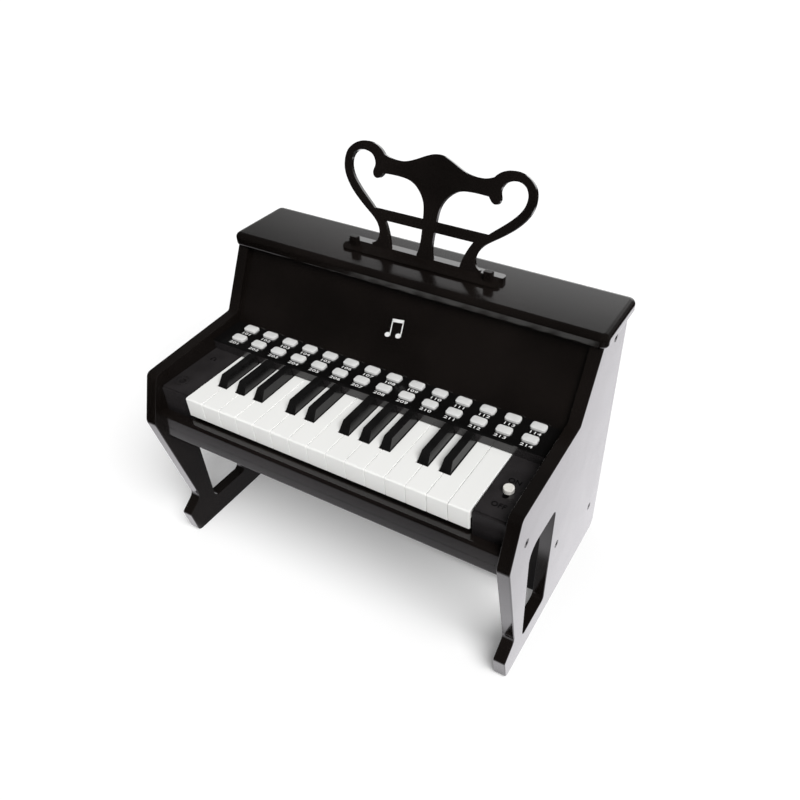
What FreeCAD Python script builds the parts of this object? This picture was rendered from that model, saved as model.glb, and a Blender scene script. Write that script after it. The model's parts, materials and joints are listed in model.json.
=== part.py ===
import FreeCAD, Part
import math
import os

V = FreeCAD.Vector

# All lengths are millimetres and all angles degrees. X runs to the player's right, Y to the back, Z up.
# Depths count forward from the back edge of the side panels, heights from the floor.

# How far a cut runs past a face, and the tolerance for picking edges
over_cut = 1.0
hair = 1e-3

# Wooden case
side_thickness = 12.0
side_top_depth = 62.0
neck_run = 33.5
neck_height = 58.0
neck_radius = 3.0
arm_rim = 10.0
arm_slope_drop = 7.0
arm_nose_lean = 21.5
arm_nose_radius = 7.0
arm_corner_rise = 6.0
arm_corner_radius = 10.0
ankle_setback = 21.2
ankle_height = 41.4
ankle_radius = 9.0
toe_setback = 2.7
toe_undercut = 4.3
toe_height = 28.5
toe_radius = 3.0
toe_tip_radius = 5.0
heel_radius = 10.0
side_edge_radius = 1.2
board_edge_radius = 0.8

leg_hole_setback = 40.0
leg_hole_top_width = 53.5
leg_hole_bottom_width = 48.0
leg_hole_bottom = 25.0
leg_hole_rise = 4.0
leg_hole_big_radius = 16.0
leg_hole_radius = 5.0

lid_thickness = 13.0
lid_side_overhang = 3.0
lid_front_overhang = 2.0
lid_back_overhang = 11.0
lid_nose_radius = 5.5
lid_under_radius = 3.0
lid_corner_radius = 7.0
batten_width = 20.0
batten_setback = 18.0
batten_height = 14.0
batten_back = 14.0

front_panel_thickness = 9.0
front_panel_inset = 5.2
back_panel_thickness = 6.0
bottom_board_height = 45.0
bottom_board_thickness = 12.0
knee_panel_thickness = 12.0
knee_panel_setback = 7.5
knee_panel_skirt = 32.0
keybed_height = 142.0
keybed_thickness = 11.0
keybed_margin = 4.0
rail_setback = 8.0
key_slip_height = 8.5
key_slip_depth = 19.0
slip_lip_height = 6.5
slip_lip_depth = 8.6
slip_edge_radius = 2.7
seam_edge_radius = 0.45

# Keys
white_count = 15
white_pitch = 20.0
white_gap = 0.4
white_length = 76.0
white_front_height = 20.0
white_top_thickness = 2.2
white_wall = 1.6
white_skirt = 9.5
white_edge_radius = 0.5
white_front_radius = 1.6
white_tail = 4.0
key_rise = 29.9
key_setback = 9.6
key_arm_height = 9.2
key_arm_setback = 37.4
black_trio_spread = 1.5
black_pair_spread = 1.6
black_groups = ((3, black_trio_spread), (2, black_pair_spread)) * 2
black_width = 10.5
black_top_width = 7.9
black_front_setback = 29.3
black_front_slope = 6.7
black_height = 9.6
black_root = 7.4
black_edge_radius = 0.9
black_arm_width = 6.4
black_clearance = 0.85
key_rear_clearance = 1.0
pivot_setback = 33.4
pivot_drop = 7.4
pivot_rod_radius = 2.0
pivot_clearance = 0.05
pivot_boss_radius = 5.0
rod_overhang = 8.0

# Moulded key module
module_clearance = 0.4
tray_wall = 2.5
tray_reach = 26.0
post_thickness = 3.0
post_depth = 12.0
post_cap = 5.5
strip_depth = 12.0
strip_rib_width = 14.0
strip_rib_drop = 9.0
strip_thickness = 1.5
dome_radius = 3.2
dome_top_radius = 2.2
dome_clearance = 4.1
cover_wall = 2.5
cheek_setback = 2.4
cheek_gap = 0.9
cheek_width = 31.7
cheek_step_depth = 2.0
cheek_step_height = 1.5
riser_height = 10.6
panel_run = 37.9
riser_clearance = 1.0
panel_edge_radius = 1.2
cover_rear_cover = 24.5
screw_boss_radius = 5.0
screw_boss_length = 14.0
socket_ring_radius = 7.2
socket_ring_width = 1.3
socket_ring_height = 0.6
socket_bore_radius = 3.2
socket_depth = 11.0
socket_setback = 17.0
socket_outset = 5.8

# Buttons and power switch
button_columns = 14
button_side_margin = 10.12
button_row_spacing = 18.0
button_row_setback = 13.6
button_width = 14.5
button_depth = 9.5
button_radius = 2.8
button_rise = 2.4
button_edge_radius = 0.9
button_clearance = 0.4
button_flange = 1.4
button_flange_thickness = 1.8
button_flange_clearance = 0.3
button_stem_radius = 2.5
button_stem_length = 1.8
board_drop = 5.4
board_thickness = 1.6
board_margin_front = 3.0
board_margin_rear = 6.05
board_side_margin = 10.0
board_boss_radius = 3.0
board_boss_columns = (-5, -2, 2, 5)
chip_width = 14.0
chip_depth = 10.0
chip_thickness = 1.5
knob_radius = 4.8
knob_height = 4.4
knob_edge_radius = 0.8
knob_lift = 0.4
knob_neck = 5.0
knob_flange_width = 10.0
knob_flange_radius = 2.0
knob_flange_thickness = 1.5
knob_flange_clearance = 0.3
knob_slot_clearance = 0.4
knob_travel = 6.0
knob_setback = 35.4

# Music stand and its ledge
stand_thickness = 5.0
stand_edge = 0.6
stand_lean = 20.5
stand_base_depth = 28.5
stand_offset = 2.5
stand_tab = 9.0
stand_clearance = 0.3
stand_stem_half = 8.5
stand_foot_inner = 37.5
stand_foot_outer = 58.0
stand_bar_low = 30.0
stand_bar_high = 39.3
ledge_offset = 0.5
ledge_half_length = 83.5
ledge_back = 15.0
ledge_front = 39.0
ledge_height = 5.0
ledge_front_height = 1.5
ledge_lip_drop = 1.6
ledge_flat = 10.5
ledge_end_radius = 5.0
ledge_notch_radius = 3.0
ledge_notch_depth = 28.0
ledge_block_x = 72.0
ledge_block_width = 9.0
ledge_block_back = 28.0
ledge_block_depth = 6.0
ledge_block_height = 12.0
ledge_block_radius = 1.5

# Back panel equipment
speaker_side_margin = 103.0
speaker_height = 165.0
speaker_radius = 38.0
speaker_flange = 3.0
speaker_cone_depth = 18.0
speaker_cone_radius = 20.0
speaker_magnet_radius = 22.0
speaker_magnet_depth = 11.0
grille_slots = 7
grille_pitch = 9.0
grille_slot_radius = 1.8
grille_radius = 31.0
battery_side_margin = 103.0
battery_height = 115.0
battery_width = 92.0
battery_tall = 66.0
battery_depth = 22.0
battery_wall = 2.0
battery_rim = 3.0
battery_flange = 6.0
battery_flange_thickness = 2.5
battery_door_clearance = 0.4
battery_pull_radius = 6.0
battery_pull_depth = 1.5

# Screws through the side panels
screw_head_radius = 4.0
screw_head_depth = 2.6
screw_shank_radius = 2.0
screw_length = 30.0
screw_clearance = 0.05
screw_socket_radius = 1.6
screw_socket_depth = 1.8
cheek_screw_setback = 10.0
knee_screw_setback = 6.0
cheek_screw_rise = 5.5
knee_screw_rise = 30.0
bottom_screw_depth = 26.0

# Shapes of the music stand, as points across and up its face, right of its centre line.
# Its feet are straight up to a shoulder just clear of the ledge.
lean_cos = math.cos(math.radians(stand_lean))
lean_sin = math.sin(math.radians(stand_lean))
stand_shoulder = (ledge_height + stand_thickness * lean_sin) / lean_cos + stand_clearance
crest_curve = ((12.0, 93.3), (23.0, 88.4), (32.0, 85.3), (41.0, 84.3), (50.0, 85.2), (56.5, 87.5))
crest_top = 96.3
scroll_outer = (
    (56.5, 87.5), (63.0, 92.8), (71.0, 95.3), (80.0, 95.2), (90.0, 91.2), (96.5, 84.5), (98.6, 76.0),
    (97.5, 67.0), (93.0, 58.5), (86.0, 50.5), (77.0, 43.0), (66.0, 35.3), (57.5, 29.0), (52.6, 22.5),
    (51.2, 16.5), (53.0, 11.0), (stand_foot_outer, stand_shoulder),
)
foot_inner = ((stand_foot_inner, stand_shoulder), (40.0, 16.0), (43.0, 23.0), (47.0, stand_bar_low))
stem_low = ((stand_stem_half, stand_shoulder), (6.9, 13.0), (6.2, 21.0), (6.4, stand_bar_low))
crest_under = (
    (7.0, stand_bar_high), (7.6, 47.0), (9.3, 54.0), (13.0, 60.3), (18.5, 65.8), (26.0, 69.6),
    (34.0, 70.9), (44.0, 71.2), (54.5, 70.8),
)
scroll_inner = (
    (54.5, 70.8), (57.5, 67.2), (61.3, 65.5), (65.0, 67.3), (66.0, 71.3), (64.6, 76.0), (65.5, 80.8),
    (69.0, 85.2), (75.0, 87.3), (82.0, 87.2), (87.5, 84.0), (90.4, 78.5), (90.4, 72.0), (87.5, 65.0),
    (81.0, 57.2), (72.0, 49.2), (60.0, stand_bar_high),
)

# Depths worked out from the sizes above
neck_foot = side_top_depth + neck_run
riser_depth = neck_foot + panel_run
key_front = riser_depth + white_length
rail_front = key_front + key_setback
arm_reach = rail_front + rail_setback
slip_back = rail_front - key_slip_depth
cheek_front = key_front - cheek_setback
pivot_depth = riser_depth - pivot_setback
key_arm_front = key_front - key_arm_setback
strip_middle = key_arm_front - strip_depth / 2
black_front = key_front - black_front_setback
black_rear = riser_depth + key_rear_clearance
tray_rear = pivot_depth - tray_reach
keybed_rear = tray_rear - keybed_margin
lower_row = riser_depth - button_row_setback
button_rows = (lower_row, lower_row - button_row_spacing)
knob_depth = key_front - knob_setback
socket_place = cheek_front - socket_setback
leg_hole_front = arm_reach - leg_hole_setback
leg_hole_back = leg_hole_front - leg_hole_top_width
knee_panel_front = leg_hole_back - knee_panel_setback
batten_front = side_top_depth - batten_setback
batten_middle = (batten_back + batten_front) / 2
stand_rear_reach = crest_top * lean_sin + stand_thickness * lean_cos - stand_base_depth
rear_reach = max(lid_back_overhang, stand_rear_reach)

# Widths
keys_half = white_count * white_pitch / 2
white_arm_width = white_pitch - black_width - 2 * black_clearance
cheek_inner = keys_half + cheek_gap
module_half = cheek_inner + cheek_width
cheek_middle = (cheek_inner + module_half) / 2
inner_half = module_half + module_clearance
outer_half = inner_half + side_thickness
button_pitch = 2 * (module_half - button_side_margin) / button_columns
socket_x = -cheek_middle - socket_outset
speaker_x = inner_half - speaker_side_margin
battery_x = battery_side_margin - inner_half

# Heights
bottom_board_top = bottom_board_height + bottom_board_thickness
keybed_top = keybed_height + keybed_thickness
slip_top = keybed_top + key_slip_height
key_top = slip_top + key_rise
panel_top = key_top + riser_height
panel_under = panel_top - cover_wall
arm_top = panel_top + arm_rim
case_height = arm_top + neck_height
lid_top = case_height + lid_thickness
pivot_height = key_top - pivot_drop
arm_under = key_top - white_top_thickness - key_arm_height
strip_top = arm_under - strip_rib_drop + strip_thickness
black_base = key_top - black_root
board_top = panel_under - board_drop
arm_corner = keybed_top + arm_corner_rise
leg_lean = math.atan(ankle_setback / (arm_corner - ankle_height))
nose_lean = math.radians(arm_nose_lean)
neck_tan = neck_run / neck_height
neck_cos = math.cos(math.atan(neck_tan))
screw_spots = (
    (cheek_front - cheek_screw_setback, slip_top + cheek_screw_rise),
    (knee_panel_front - knee_screw_setback, bottom_board_top + knee_screw_rise),
    (bottom_screw_depth, bottom_board_height + bottom_board_thickness / 2),
    (batten_middle, case_height - batten_height / 2),
)

# Place of the case back, with the overall depth halved at Y = 0. The arm's rounded corner stands a little
# behind its sharp point.
corner_share = (math.cos(leg_lean) + math.cos(nose_lean)) / (1 + math.cos(leg_lean + nose_lean)) - 1
front_reach = arm_reach - arm_corner_radius * corner_share
back_y = (front_reach + rear_reach) / 2 - rear_reach


# Building helpers

def place(across, deep, high):
    """Point given across, in front of the case back, and above the floor."""
    return V(across, back_y - deep, high)


def block(x0, x1, d0, d1, z0, z1):
    """Box between two sides, two depths and two heights."""
    return Part.makeBox(x1 - x0, d1 - d0, z1 - z0, place(x0, d1, z0))


def rounded_wire(corners, to_space):
    """Closed wire through corners (u, v, radius), each one rounded by its own radius."""
    count = len(corners)
    starts = []
    ends = []
    edges = []
    for i in range(count):
        u, v, radius = corners[i]
        here = V(u, v, 0)
        back = (V(corners[i - 1][0], corners[i - 1][1], 0) - here).normalize()
        ahead_corner = corners[(i + 1) % count]
        ahead = (V(ahead_corner[0], ahead_corner[1], 0) - here).normalize()
        if radius == 0:
            starts.append(here)
            ends.append(here)
            continue
        half = back.getAngle(ahead) / 2
        run = radius / math.tan(half)
        middle = here + (back + ahead).normalize() * (radius / math.sin(half) - radius)
        starts.append(here + back * run)
        ends.append(here + ahead * run)
        through = [to_space(p.x, p.y) for p in (starts[i], middle, ends[i])]
        edges.append(Part.Arc(*through).toShape())
    for i in range(count):
        a = ends[i]
        b = starts[(i + 1) % count]
        if a.distanceToPoint(b) > hair:
            edges.append(Part.makeLine(to_space(a.x, a.y), to_space(b.x, b.y)))
    return Part.Wire(Part.sortEdges(edges)[0])


def side_prism(corners, x0, x1):
    """Solid with a side-on outline of (depth, height, radius) corners, from x0 to x1."""
    face = Part.Face(rounded_wire(corners, lambda d, z: place(x0, d, z)))
    return face.extrude(V(x1 - x0, 0, 0))


def plan_prism(corners, z0, z1):
    """Solid with a plan outline of (across, depth, radius) corners, from z0 to z1."""
    face = Part.Face(rounded_wire(corners, lambda x, d: place(x, d, z0)))
    return face.extrude(V(0, 0, z1 - z0))


def plan_pad(x, d, width, deep, radius, z0, z1):
    """Rounded rectangle standing from z0 to z1 about a middle point."""
    w = width / 2
    h = deep / 2
    spots = ((x - w, d - h), (x + w, d - h), (x + w, d + h), (x - w, d + h))
    return plan_prism([(u, v, radius) for u, v in spots], z0, z1)


def rod_across(x0, x1, d, z, radius):
    """Round bar along X."""
    return Part.makeCylinder(radius, x1 - x0, place(x0, d, z), V(1, 0, 0))


def rod_back(x, d0, d1, z, radius):
    """Round bar along Y between two depths."""
    return Part.makeCylinder(radius, d1 - d0, place(x, d1, z), V(0, 1, 0))


def rod_up(x, d, z0, z1, radius):
    """Round bar along Z."""
    return Part.makeCylinder(radius, z1 - z0, place(x, d, z0), V(0, 0, 1))


def flat_at(box, heights):
    """Whether an edge lies flat at one of these heights."""
    return any(max(abs(box.ZMin - z), abs(box.ZMax - z)) < hair for z in heights)


def flat_edges(shape, z):
    """Edges of a shape that lie wholly at one height."""
    return [e for e in shape.Edges if flat_at(e.BoundBox, (z,))]


def face_edges(shape, x):
    """Edges of a shape that lie wholly on one side plane."""
    return [e for e in shape.Edges if max(abs(e.BoundBox.XMin - x), abs(e.BoundBox.XMax - x)) < hair]


def joined(first, *others):
    """One solid from several that meet."""
    return first.fuse(list(others)).removeSplitter()


def spline(points, to_space):
    curve = Part.BSplineCurve()
    curve.interpolate([to_space(u, v) for u, v in points])
    return curve.toShape()


def save(name, shape):
    """Write one piece, or one group of like pieces, to its file."""
    solids = shape.Solids
    if not solids or not shape.isValid():
        raise RuntimeError(name + " is not a sound solid")
    out = solids[0] if len(solids) == 1 else Part.makeCompound(solids)
    out.exportStep("parts/" + name + ".step")


# Wooden case

def side_panel(sign):
    """Side board with arm, neck, leg and toe; the leg is cut out behind its front edge."""
    arm_front_top = arm_top - arm_slope_drop
    nose_top = arm_reach - (arm_front_top - arm_corner) * math.tan(nose_lean)
    ankle = arm_reach - ankle_setback
    toe = arm_reach - toe_setback
    corners = (
        (0, 0, heel_radius),
        (toe - toe_undercut, 0, toe_tip_radius),
        (toe, toe_height, toe_radius),
        (ankle, ankle_height, ankle_radius),
        (arm_reach, arm_corner, arm_corner_radius),
        (nose_top, arm_front_top, arm_nose_radius),
        (neck_foot, arm_top, neck_radius),
        (side_top_depth, case_height, 0),
        (0, case_height, 0),
    )
    outer = sign * outer_half
    inner = sign * inner_half
    x0 = min(outer, inner)
    x1 = max(outer, inner)
    board = side_prism(corners, x0, x1)
    for x, radius in ((outer, side_edge_radius), (inner, board_edge_radius)):
        rim = [e for e in face_edges(board, x) if not flat_at(e.BoundBox, (0, case_height))]
        board = board.makeFillet(radius, rim)
    leg_hole_top = keybed_height + leg_hole_rise
    hole = (
        (leg_hole_front - leg_hole_bottom_width, leg_hole_bottom, leg_hole_radius),
        (leg_hole_front, leg_hole_bottom, leg_hole_radius),
        (leg_hole_front, leg_hole_top, leg_hole_big_radius),
        (leg_hole_back, leg_hole_top, leg_hole_radius),
    )
    board = board.cut(side_prism(hole, x0 - over_cut, x1 + over_cut))
    inside = back_y - leg_hole_back + hair
    for x in (outer, inner):
        rim = [e for e in face_edges(board, x) if leg_hole_rim(e.BoundBox, inside, leg_hole_top)]
        board = board.makeFillet(board_edge_radius, rim)
    return board.cut(screw_holes(sign))


def leg_hole_rim(box, inside, top):
    """Whether an edge belongs to the cut-out of a side board."""
    across = back_y - leg_hole_front - hair < box.YMin and box.YMax < inside
    return across and leg_hole_bottom - hair < box.ZMin and box.ZMax < top + hair


def screw_holes(sign):
    """Clearance holes and head recesses for the screws of one side."""
    outer = sign * outer_half
    c = screw_clearance
    holes = []
    for d, z in screw_spots:
        deep = outer - sign * (screw_length + c)
        neck = outer - sign * (screw_head_depth + c)
        holes.append(rod_across(min(outer, deep), max(outer, deep), d, z, screw_shank_radius + c))
        holes.append(rod_across(min(outer, neck), max(outer, neck), d, z, screw_head_radius + c))
    return Part.makeCompound(holes)


def case_screws():
    """Socket-headed screws through both side panels, flush with the wood."""
    solids = []
    for sign in (-1, 1):
        outer = sign * outer_half
        for d, z in screw_spots:
            neck = outer - sign * screw_head_depth
            tip = outer - sign * screw_length
            pit = outer - sign * screw_socket_depth
            head = rod_across(min(outer, neck), max(outer, neck), d, z, screw_head_radius)
            shank = rod_across(min(neck, tip), max(neck, tip), d, z, screw_shank_radius)
            socket = rod_across(min(outer, pit), max(outer, pit), d, z, screw_socket_radius)
            solids.append(joined(head, shank).cut(socket))
    return Part.makeCompound(solids)


def without_screws(board):
    """A board with the pilot holes for both sides' screws."""
    return board.cut([screw_holes(-1), screw_holes(1)])


def top_lid():
    """Bullnosed lid with a glued batten at each end and pockets for the music stand."""
    half = outer_half + lid_side_overhang
    front = side_top_depth + lid_front_overhang
    deep = front + lid_back_overhang
    board = plan_pad(0, front - deep / 2, 2 * half, deep, lid_corner_radius, case_height, lid_top)
    board = board.makeFillet(lid_nose_radius, flat_edges(board, lid_top))
    board = board.makeFillet(lid_under_radius, flat_edges(board, case_height))
    low = case_height - batten_height
    battens = []
    for sign in (-1, 1):
        a = sign * inner_half
        b = sign * (inner_half - batten_width)
        battens.append(block(min(a, b), max(a, b), batten_back, batten_front, low, case_height))
    return without_screws(joined(board, *battens).cut(stand_slots()))


def front_panel_depth(z):
    """Depth of the upper front panel's face at a height."""
    return side_top_depth + (case_height - z) * neck_tan - front_panel_inset / neck_cos


def upper_front_panel():
    thick = front_panel_thickness / neck_cos
    low = front_panel_depth(panel_top)
    high = front_panel_depth(case_height)
    corners = (
        (low, panel_top, 0),
        (high, case_height, 0),
        (high - thick, case_height, 0),
        (low - thick, panel_top, 0),
    )
    return side_prism(corners, -inner_half, inner_half)


def back_panel():
    """Board across the back with a slotted speaker grille and an opening for the battery door."""
    board = block(-inner_half, inner_half, 0, back_panel_thickness, bottom_board_height, case_height)
    past = back_panel_thickness + over_cut
    cuts = []
    for i in range(grille_slots):
        rise = (i - (grille_slots - 1) / 2) * grille_pitch
        half = math.sqrt(grille_radius ** 2 - rise ** 2)
        z = speaker_height + rise
        r = grille_slot_radius
        cuts.append(block(speaker_x - half, speaker_x + half, -over_cut, past, z - r, z + r))
        for end in (-half, half):
            cuts.append(rod_back(speaker_x + end, -over_cut, past, z, r))
    w = battery_width / 2
    h = battery_tall / 2
    z0 = battery_height - h
    cuts.append(block(battery_x - w, battery_x + w, -over_cut, past, z0, z0 + battery_tall))
    return board.cut(cuts)


def bottom_board():
    rear = back_panel_thickness
    front = knee_panel_front - knee_panel_thickness
    board = block(-inner_half, inner_half, rear, front, bottom_board_height, bottom_board_top)
    return without_screws(board)


def knee_panel():
    """Board behind the player's knees, with a skirt in front of the bottom board."""
    rear = knee_panel_front - knee_panel_thickness
    low = bottom_board_height - knee_panel_skirt
    board = block(-inner_half, inner_half, rear, knee_panel_front, low, keybed_height)
    return without_screws(board)


def soft_front(board, high, high_radius, low, low_radius):
    """A board with the upper and the lower edge of its front rounded."""
    front = back_y - rail_front + hair
    for z, radius in ((high, high_radius), (low, low_radius)):
        rim = [e for e in flat_edges(board, z) if e.BoundBox.YMax < front]
        board = board.makeFillet(radius, rim)
    return board


def keybed():
    board = block(-inner_half, inner_half, keybed_rear, rail_front, keybed_height, keybed_top)
    return soft_front(board, keybed_top, seam_edge_radius, keybed_height, board_edge_radius)


def key_slip():
    """Rail in front of the key module, with a lip before the keys."""
    rail = block(-inner_half, inner_half, slip_back, rail_front, keybed_top, slip_top)
    lip_back = rail_front - slip_lip_depth
    lip_top = slip_top + slip_lip_height
    lip = block(-inner_half, inner_half, lip_back, rail_front, slip_top, lip_top)
    return soft_front(joined(rail, lip), lip_top, slip_edge_radius, keybed_top, seam_edge_radius)


# Music stand

def on_stand(u, h, behind=0.0):
    """Point on the stand: across, up its leaning face, and behind that face."""
    deep = stand_base_depth - h * lean_sin - behind * lean_cos
    return place(stand_offset + u, deep, lid_top + h * lean_cos - behind * lean_sin)


def stand_sheet(edges, thickness, behind=0.0):
    """Solid from a closed outline on the stand's face."""
    face = Part.Face(Part.Wire(Part.sortEdges(edges)[0]))
    face.translate(V(0, lean_cos, -lean_sin) * behind)
    return face.extrude(V(0, lean_cos, -lean_sin) * thickness)


def mirrored(points, sign):
    return [(sign * u, h) for u, h in points]


def polyline(points):
    return [Part.makeLine(on_stand(*a), on_stand(*b)) for a, b in zip(points, points[1:])]


def music_stand():
    """Scrolled plate with a crest, a crossbar and three feet that run down into the slots."""
    low = -stand_tab
    edges = [spline(mirrored(crest_curve[::-1], -1) + [(0.0, crest_top)] + list(crest_curve), on_stand)]
    gaps = []
    for sign in (-1, 1):
        edges.append(spline(mirrored(scroll_outer, sign), on_stand))
        edges.append(spline(mirrored(foot_inner, sign), on_stand))
        edges.append(spline(mirrored(stem_low, sign), on_stand))
        foot = [scroll_outer[-1], (stand_foot_outer, low), (stand_foot_inner, low), foot_inner[0]]
        edges += polyline(mirrored(foot, sign))
        edges += polyline(mirrored([foot_inner[-1], stem_low[-1]], sign))
        edges += polyline(mirrored([stem_low[0], (stand_stem_half, low)], sign))
        gap = [spline(mirrored(crest_under, sign), on_stand), spline(mirrored(scroll_inner, sign), on_stand)]
        gap += polyline(mirrored([scroll_inner[-1], crest_under[0]], sign))
        gaps.append(stand_sheet(gap, stand_thickness + 2 * over_cut, -over_cut))
    edges += polyline([(-stand_stem_half, low), (stand_stem_half, low)])
    plate = stand_sheet(edges, stand_thickness).cut(gaps)
    through = V(0, lean_cos, -lean_sin) * stand_thickness
    rim = [e for e in plate.Edges if len(e.Vertexes) < 2 or not along(e, through)]
    return plate.makeChamfer(stand_edge, rim)


def along(edge, step):
    """Whether a straight edge runs from one end to the other by this step, either way."""
    run = edge.Vertexes[1].Point - edge.Vertexes[0].Point
    return min(run.distanceToPoint(step), run.distanceToPoint(-step)) < hair


def stand_slots():
    """Leaning pockets that the stand's three feet drop into."""
    c = stand_clearance
    low = -stand_tab - c
    high = stand_shoulder + over_cut
    pockets = []
    spans = (
        (-stand_foot_outer, -stand_foot_inner),
        (-stand_stem_half, stand_stem_half),
        (stand_foot_inner, stand_foot_outer),
    )
    for a, b in spans:
        ring = [(a - c, low), (b + c, low), (b + c, high), (a - c, high)]
        pockets.append(stand_sheet(polyline(ring + ring[:1]), stand_thickness + 2 * c, -c))
    return pockets


def music_stand_ledge():
    """Ledge on the lid: a lip that falls to the back, a sloping front and two page stops."""
    top = lid_top + ledge_height
    half = ledge_half_length
    deep = ledge_front - ledge_back
    bar = plan_pad(ledge_offset, ledge_back + deep / 2, 2 * half, deep, ledge_end_radius, lid_top, top)
    ridge = ledge_back + ledge_flat
    falls = ((ledge_front + over_cut, ledge_front_height), (ledge_back - over_cut, ledge_height - ledge_lip_drop))
    for deep_end, rise in falls:
        slope = (
            (ridge, top, 0),
            (deep_end, lid_top + rise, 0),
            (deep_end, top + over_cut, 0),
            (ridge, top + over_cut, 0),
        )
        bar = bar.cut(side_prism(slope, ledge_offset - half - over_cut, ledge_offset + half + over_cut))
    stops = []
    for sign in (-1, 1):
        end = ledge_offset + sign * half
        bar = bar.cut(rod_up(end, ledge_notch_depth, lid_top - over_cut, top + over_cut, ledge_notch_radius))
        middle = ledge_block_back + ledge_block_depth / 2
        high = lid_top + ledge_block_height
        x = ledge_offset + sign * ledge_block_x
        stop = plan_pad(x, middle, ledge_block_width, ledge_block_depth, ledge_block_radius, lid_top, high)
        stops.append(stop.makeFillet(ledge_block_radius / 2, flat_edges(stop, high)))
    return joined(bar, *stops).cut(stand_slots())


# Keys

def white_middle(i):
    return (i - (white_count - 1) / 2) * white_pitch


def notch_span(n):
    """Room across that the white keys leave for one black key."""
    half = black_width / 2 + black_clearance
    return black_middle(n) - half, black_middle(n) + half


def black_layout():
    """White keys to the left of each black key, and each black key's shift from the gap there."""
    befores = []
    shifts = []
    first = 1
    for size, spread in black_groups:
        for k in range(size):
            befores.append(first + k)
            shifts.append((k - (size - 1) / 2) * spread)
        first += size + 1
    return befores, shifts


def black_beside(i, after):
    """Number of the black key on one side of a white key, or None."""
    return blacks_after.index(i + after) if i + after in blacks_after else None


def white_arm_middle(i):
    """Middle of the part of a white key that runs back between its black neighbours."""
    half = (white_pitch - white_gap) / 2
    low = white_middle(i) - half
    high = white_middle(i) + half
    left = black_beside(i, 0)
    right = black_beside(i, 1)
    if left is not None:
        low = notch_span(left)[1]
    if right is not None:
        high = notch_span(right)[0]
    return (low + high) / 2


def black_middle(n):
    return (blacks_after[n] - white_count / 2) * white_pitch + black_shifts[n]


def key_arm(x, width):
    """Arm under a key, with the boss and bore that ride on the pivot rod."""
    high = arm_under + key_arm_height
    arm = block(x - width / 2, x + width / 2, pivot_depth, key_arm_front, arm_under, high)
    boss = rod_across(x - width / 2, x + width / 2, pivot_depth, pivot_height, pivot_boss_radius)
    return arm, boss


def pivot_bore(x):
    radius = pivot_rod_radius + pivot_clearance
    return rod_across(x - white_pitch, x + white_pitch, pivot_depth, pivot_height, radius)


def white_key(i):
    """Hollow white key: top, deep front wall, side skirts and an arm back to the pivot."""
    x = white_middle(i)
    half = (white_pitch - white_gap) / 2
    rear = riser_depth - white_tail
    cap = block(x - half, x + half, rear, key_front, key_top - white_skirt, key_top)
    front_wall = key_front - white_top_thickness
    front_low = key_top - white_front_height
    cap = joined(cap, block(x - half, x + half, front_wall, key_front, front_low, key_top))
    lip = [e for e in flat_edges(cap, key_top) if e.BoundBox.YMax < back_y - key_front + hair]
    cap = cap.makeFillet(white_front_radius, lip)
    sides = [e for e in flat_edges(cap, key_top) if e.BoundBox.YLength > white_skirt]
    cap = cap.makeFillet(white_edge_radius, sides)
    inside = half - white_wall
    hollow_top = key_top - white_top_thickness
    cap = cap.cut(block(x - inside, x + inside, rear - over_cut, front_wall, front_low, hollow_top))
    for after in (0, 1):
        n = black_beside(i, after)
        if n is not None:
            a, b = notch_span(n)
            front = black_front + black_clearance
            cap = cap.cut(block(a, b, rear - over_cut, front, arm_under - over_cut, key_top + over_cut))
    arm, boss = key_arm(white_arm_middle(i), white_arm_width)
    return joined(cap, arm, boss).cut(pivot_bore(x))


def black_key(n):
    """Tapered black key with a sloping front and an arm back to the pivot."""
    x = black_middle(n)
    half = black_width / 2
    top_half = black_top_width / 2
    top = key_top + black_height
    top_front = black_front - black_front_slope
    root = block(x - half, x + half, black_rear, black_front, black_base, key_top)

    def ring(w, front, z):
        rear_points = [place(x - w, black_rear, z), place(x + w, black_rear, z)]
        front_points = [place(x + w, front, z), place(x - w, front, z)]
        return Part.makePolygon(rear_points + front_points + rear_points[:1])

    cap = Part.makeLoft([ring(half, black_front, key_top), ring(top_half, top_front, top)], True, True)
    reach = back_y - black_rear - hair
    soft = [e for e in cap.Edges if e.BoundBox.ZMax > top - hair and e.BoundBox.YMin < reach]
    cap = cap.makeFillet(black_edge_radius, soft)
    arm, boss = key_arm(x, black_arm_width)
    return joined(cap, root, arm, boss).cut(pivot_bore(x))


def key_pivot_rod():
    end = keys_half + rod_overhang
    return rod_across(-end, end, pivot_depth, pivot_height, pivot_rod_radius)


def key_contact_strip():
    """Rubber strip with one dome under each key arm."""
    half = keys_half - white_gap
    front = strip_middle + strip_depth / 2
    strip = block(-half, half, strip_middle - strip_depth / 2, front, strip_top - strip_thickness, strip_top)
    domes = []
    middles = [white_arm_middle(i) for i in range(white_count)]
    middles += [black_middle(n) for n in range(len(blacks_after))]
    tall = arm_under - dome_clearance - strip_top
    for x in middles:
        domes.append(Part.makeCone(dome_radius, dome_top_radius, tall, place(x, strip_middle, strip_top)))
    return joined(strip, *domes)


# Moulded key module

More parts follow.
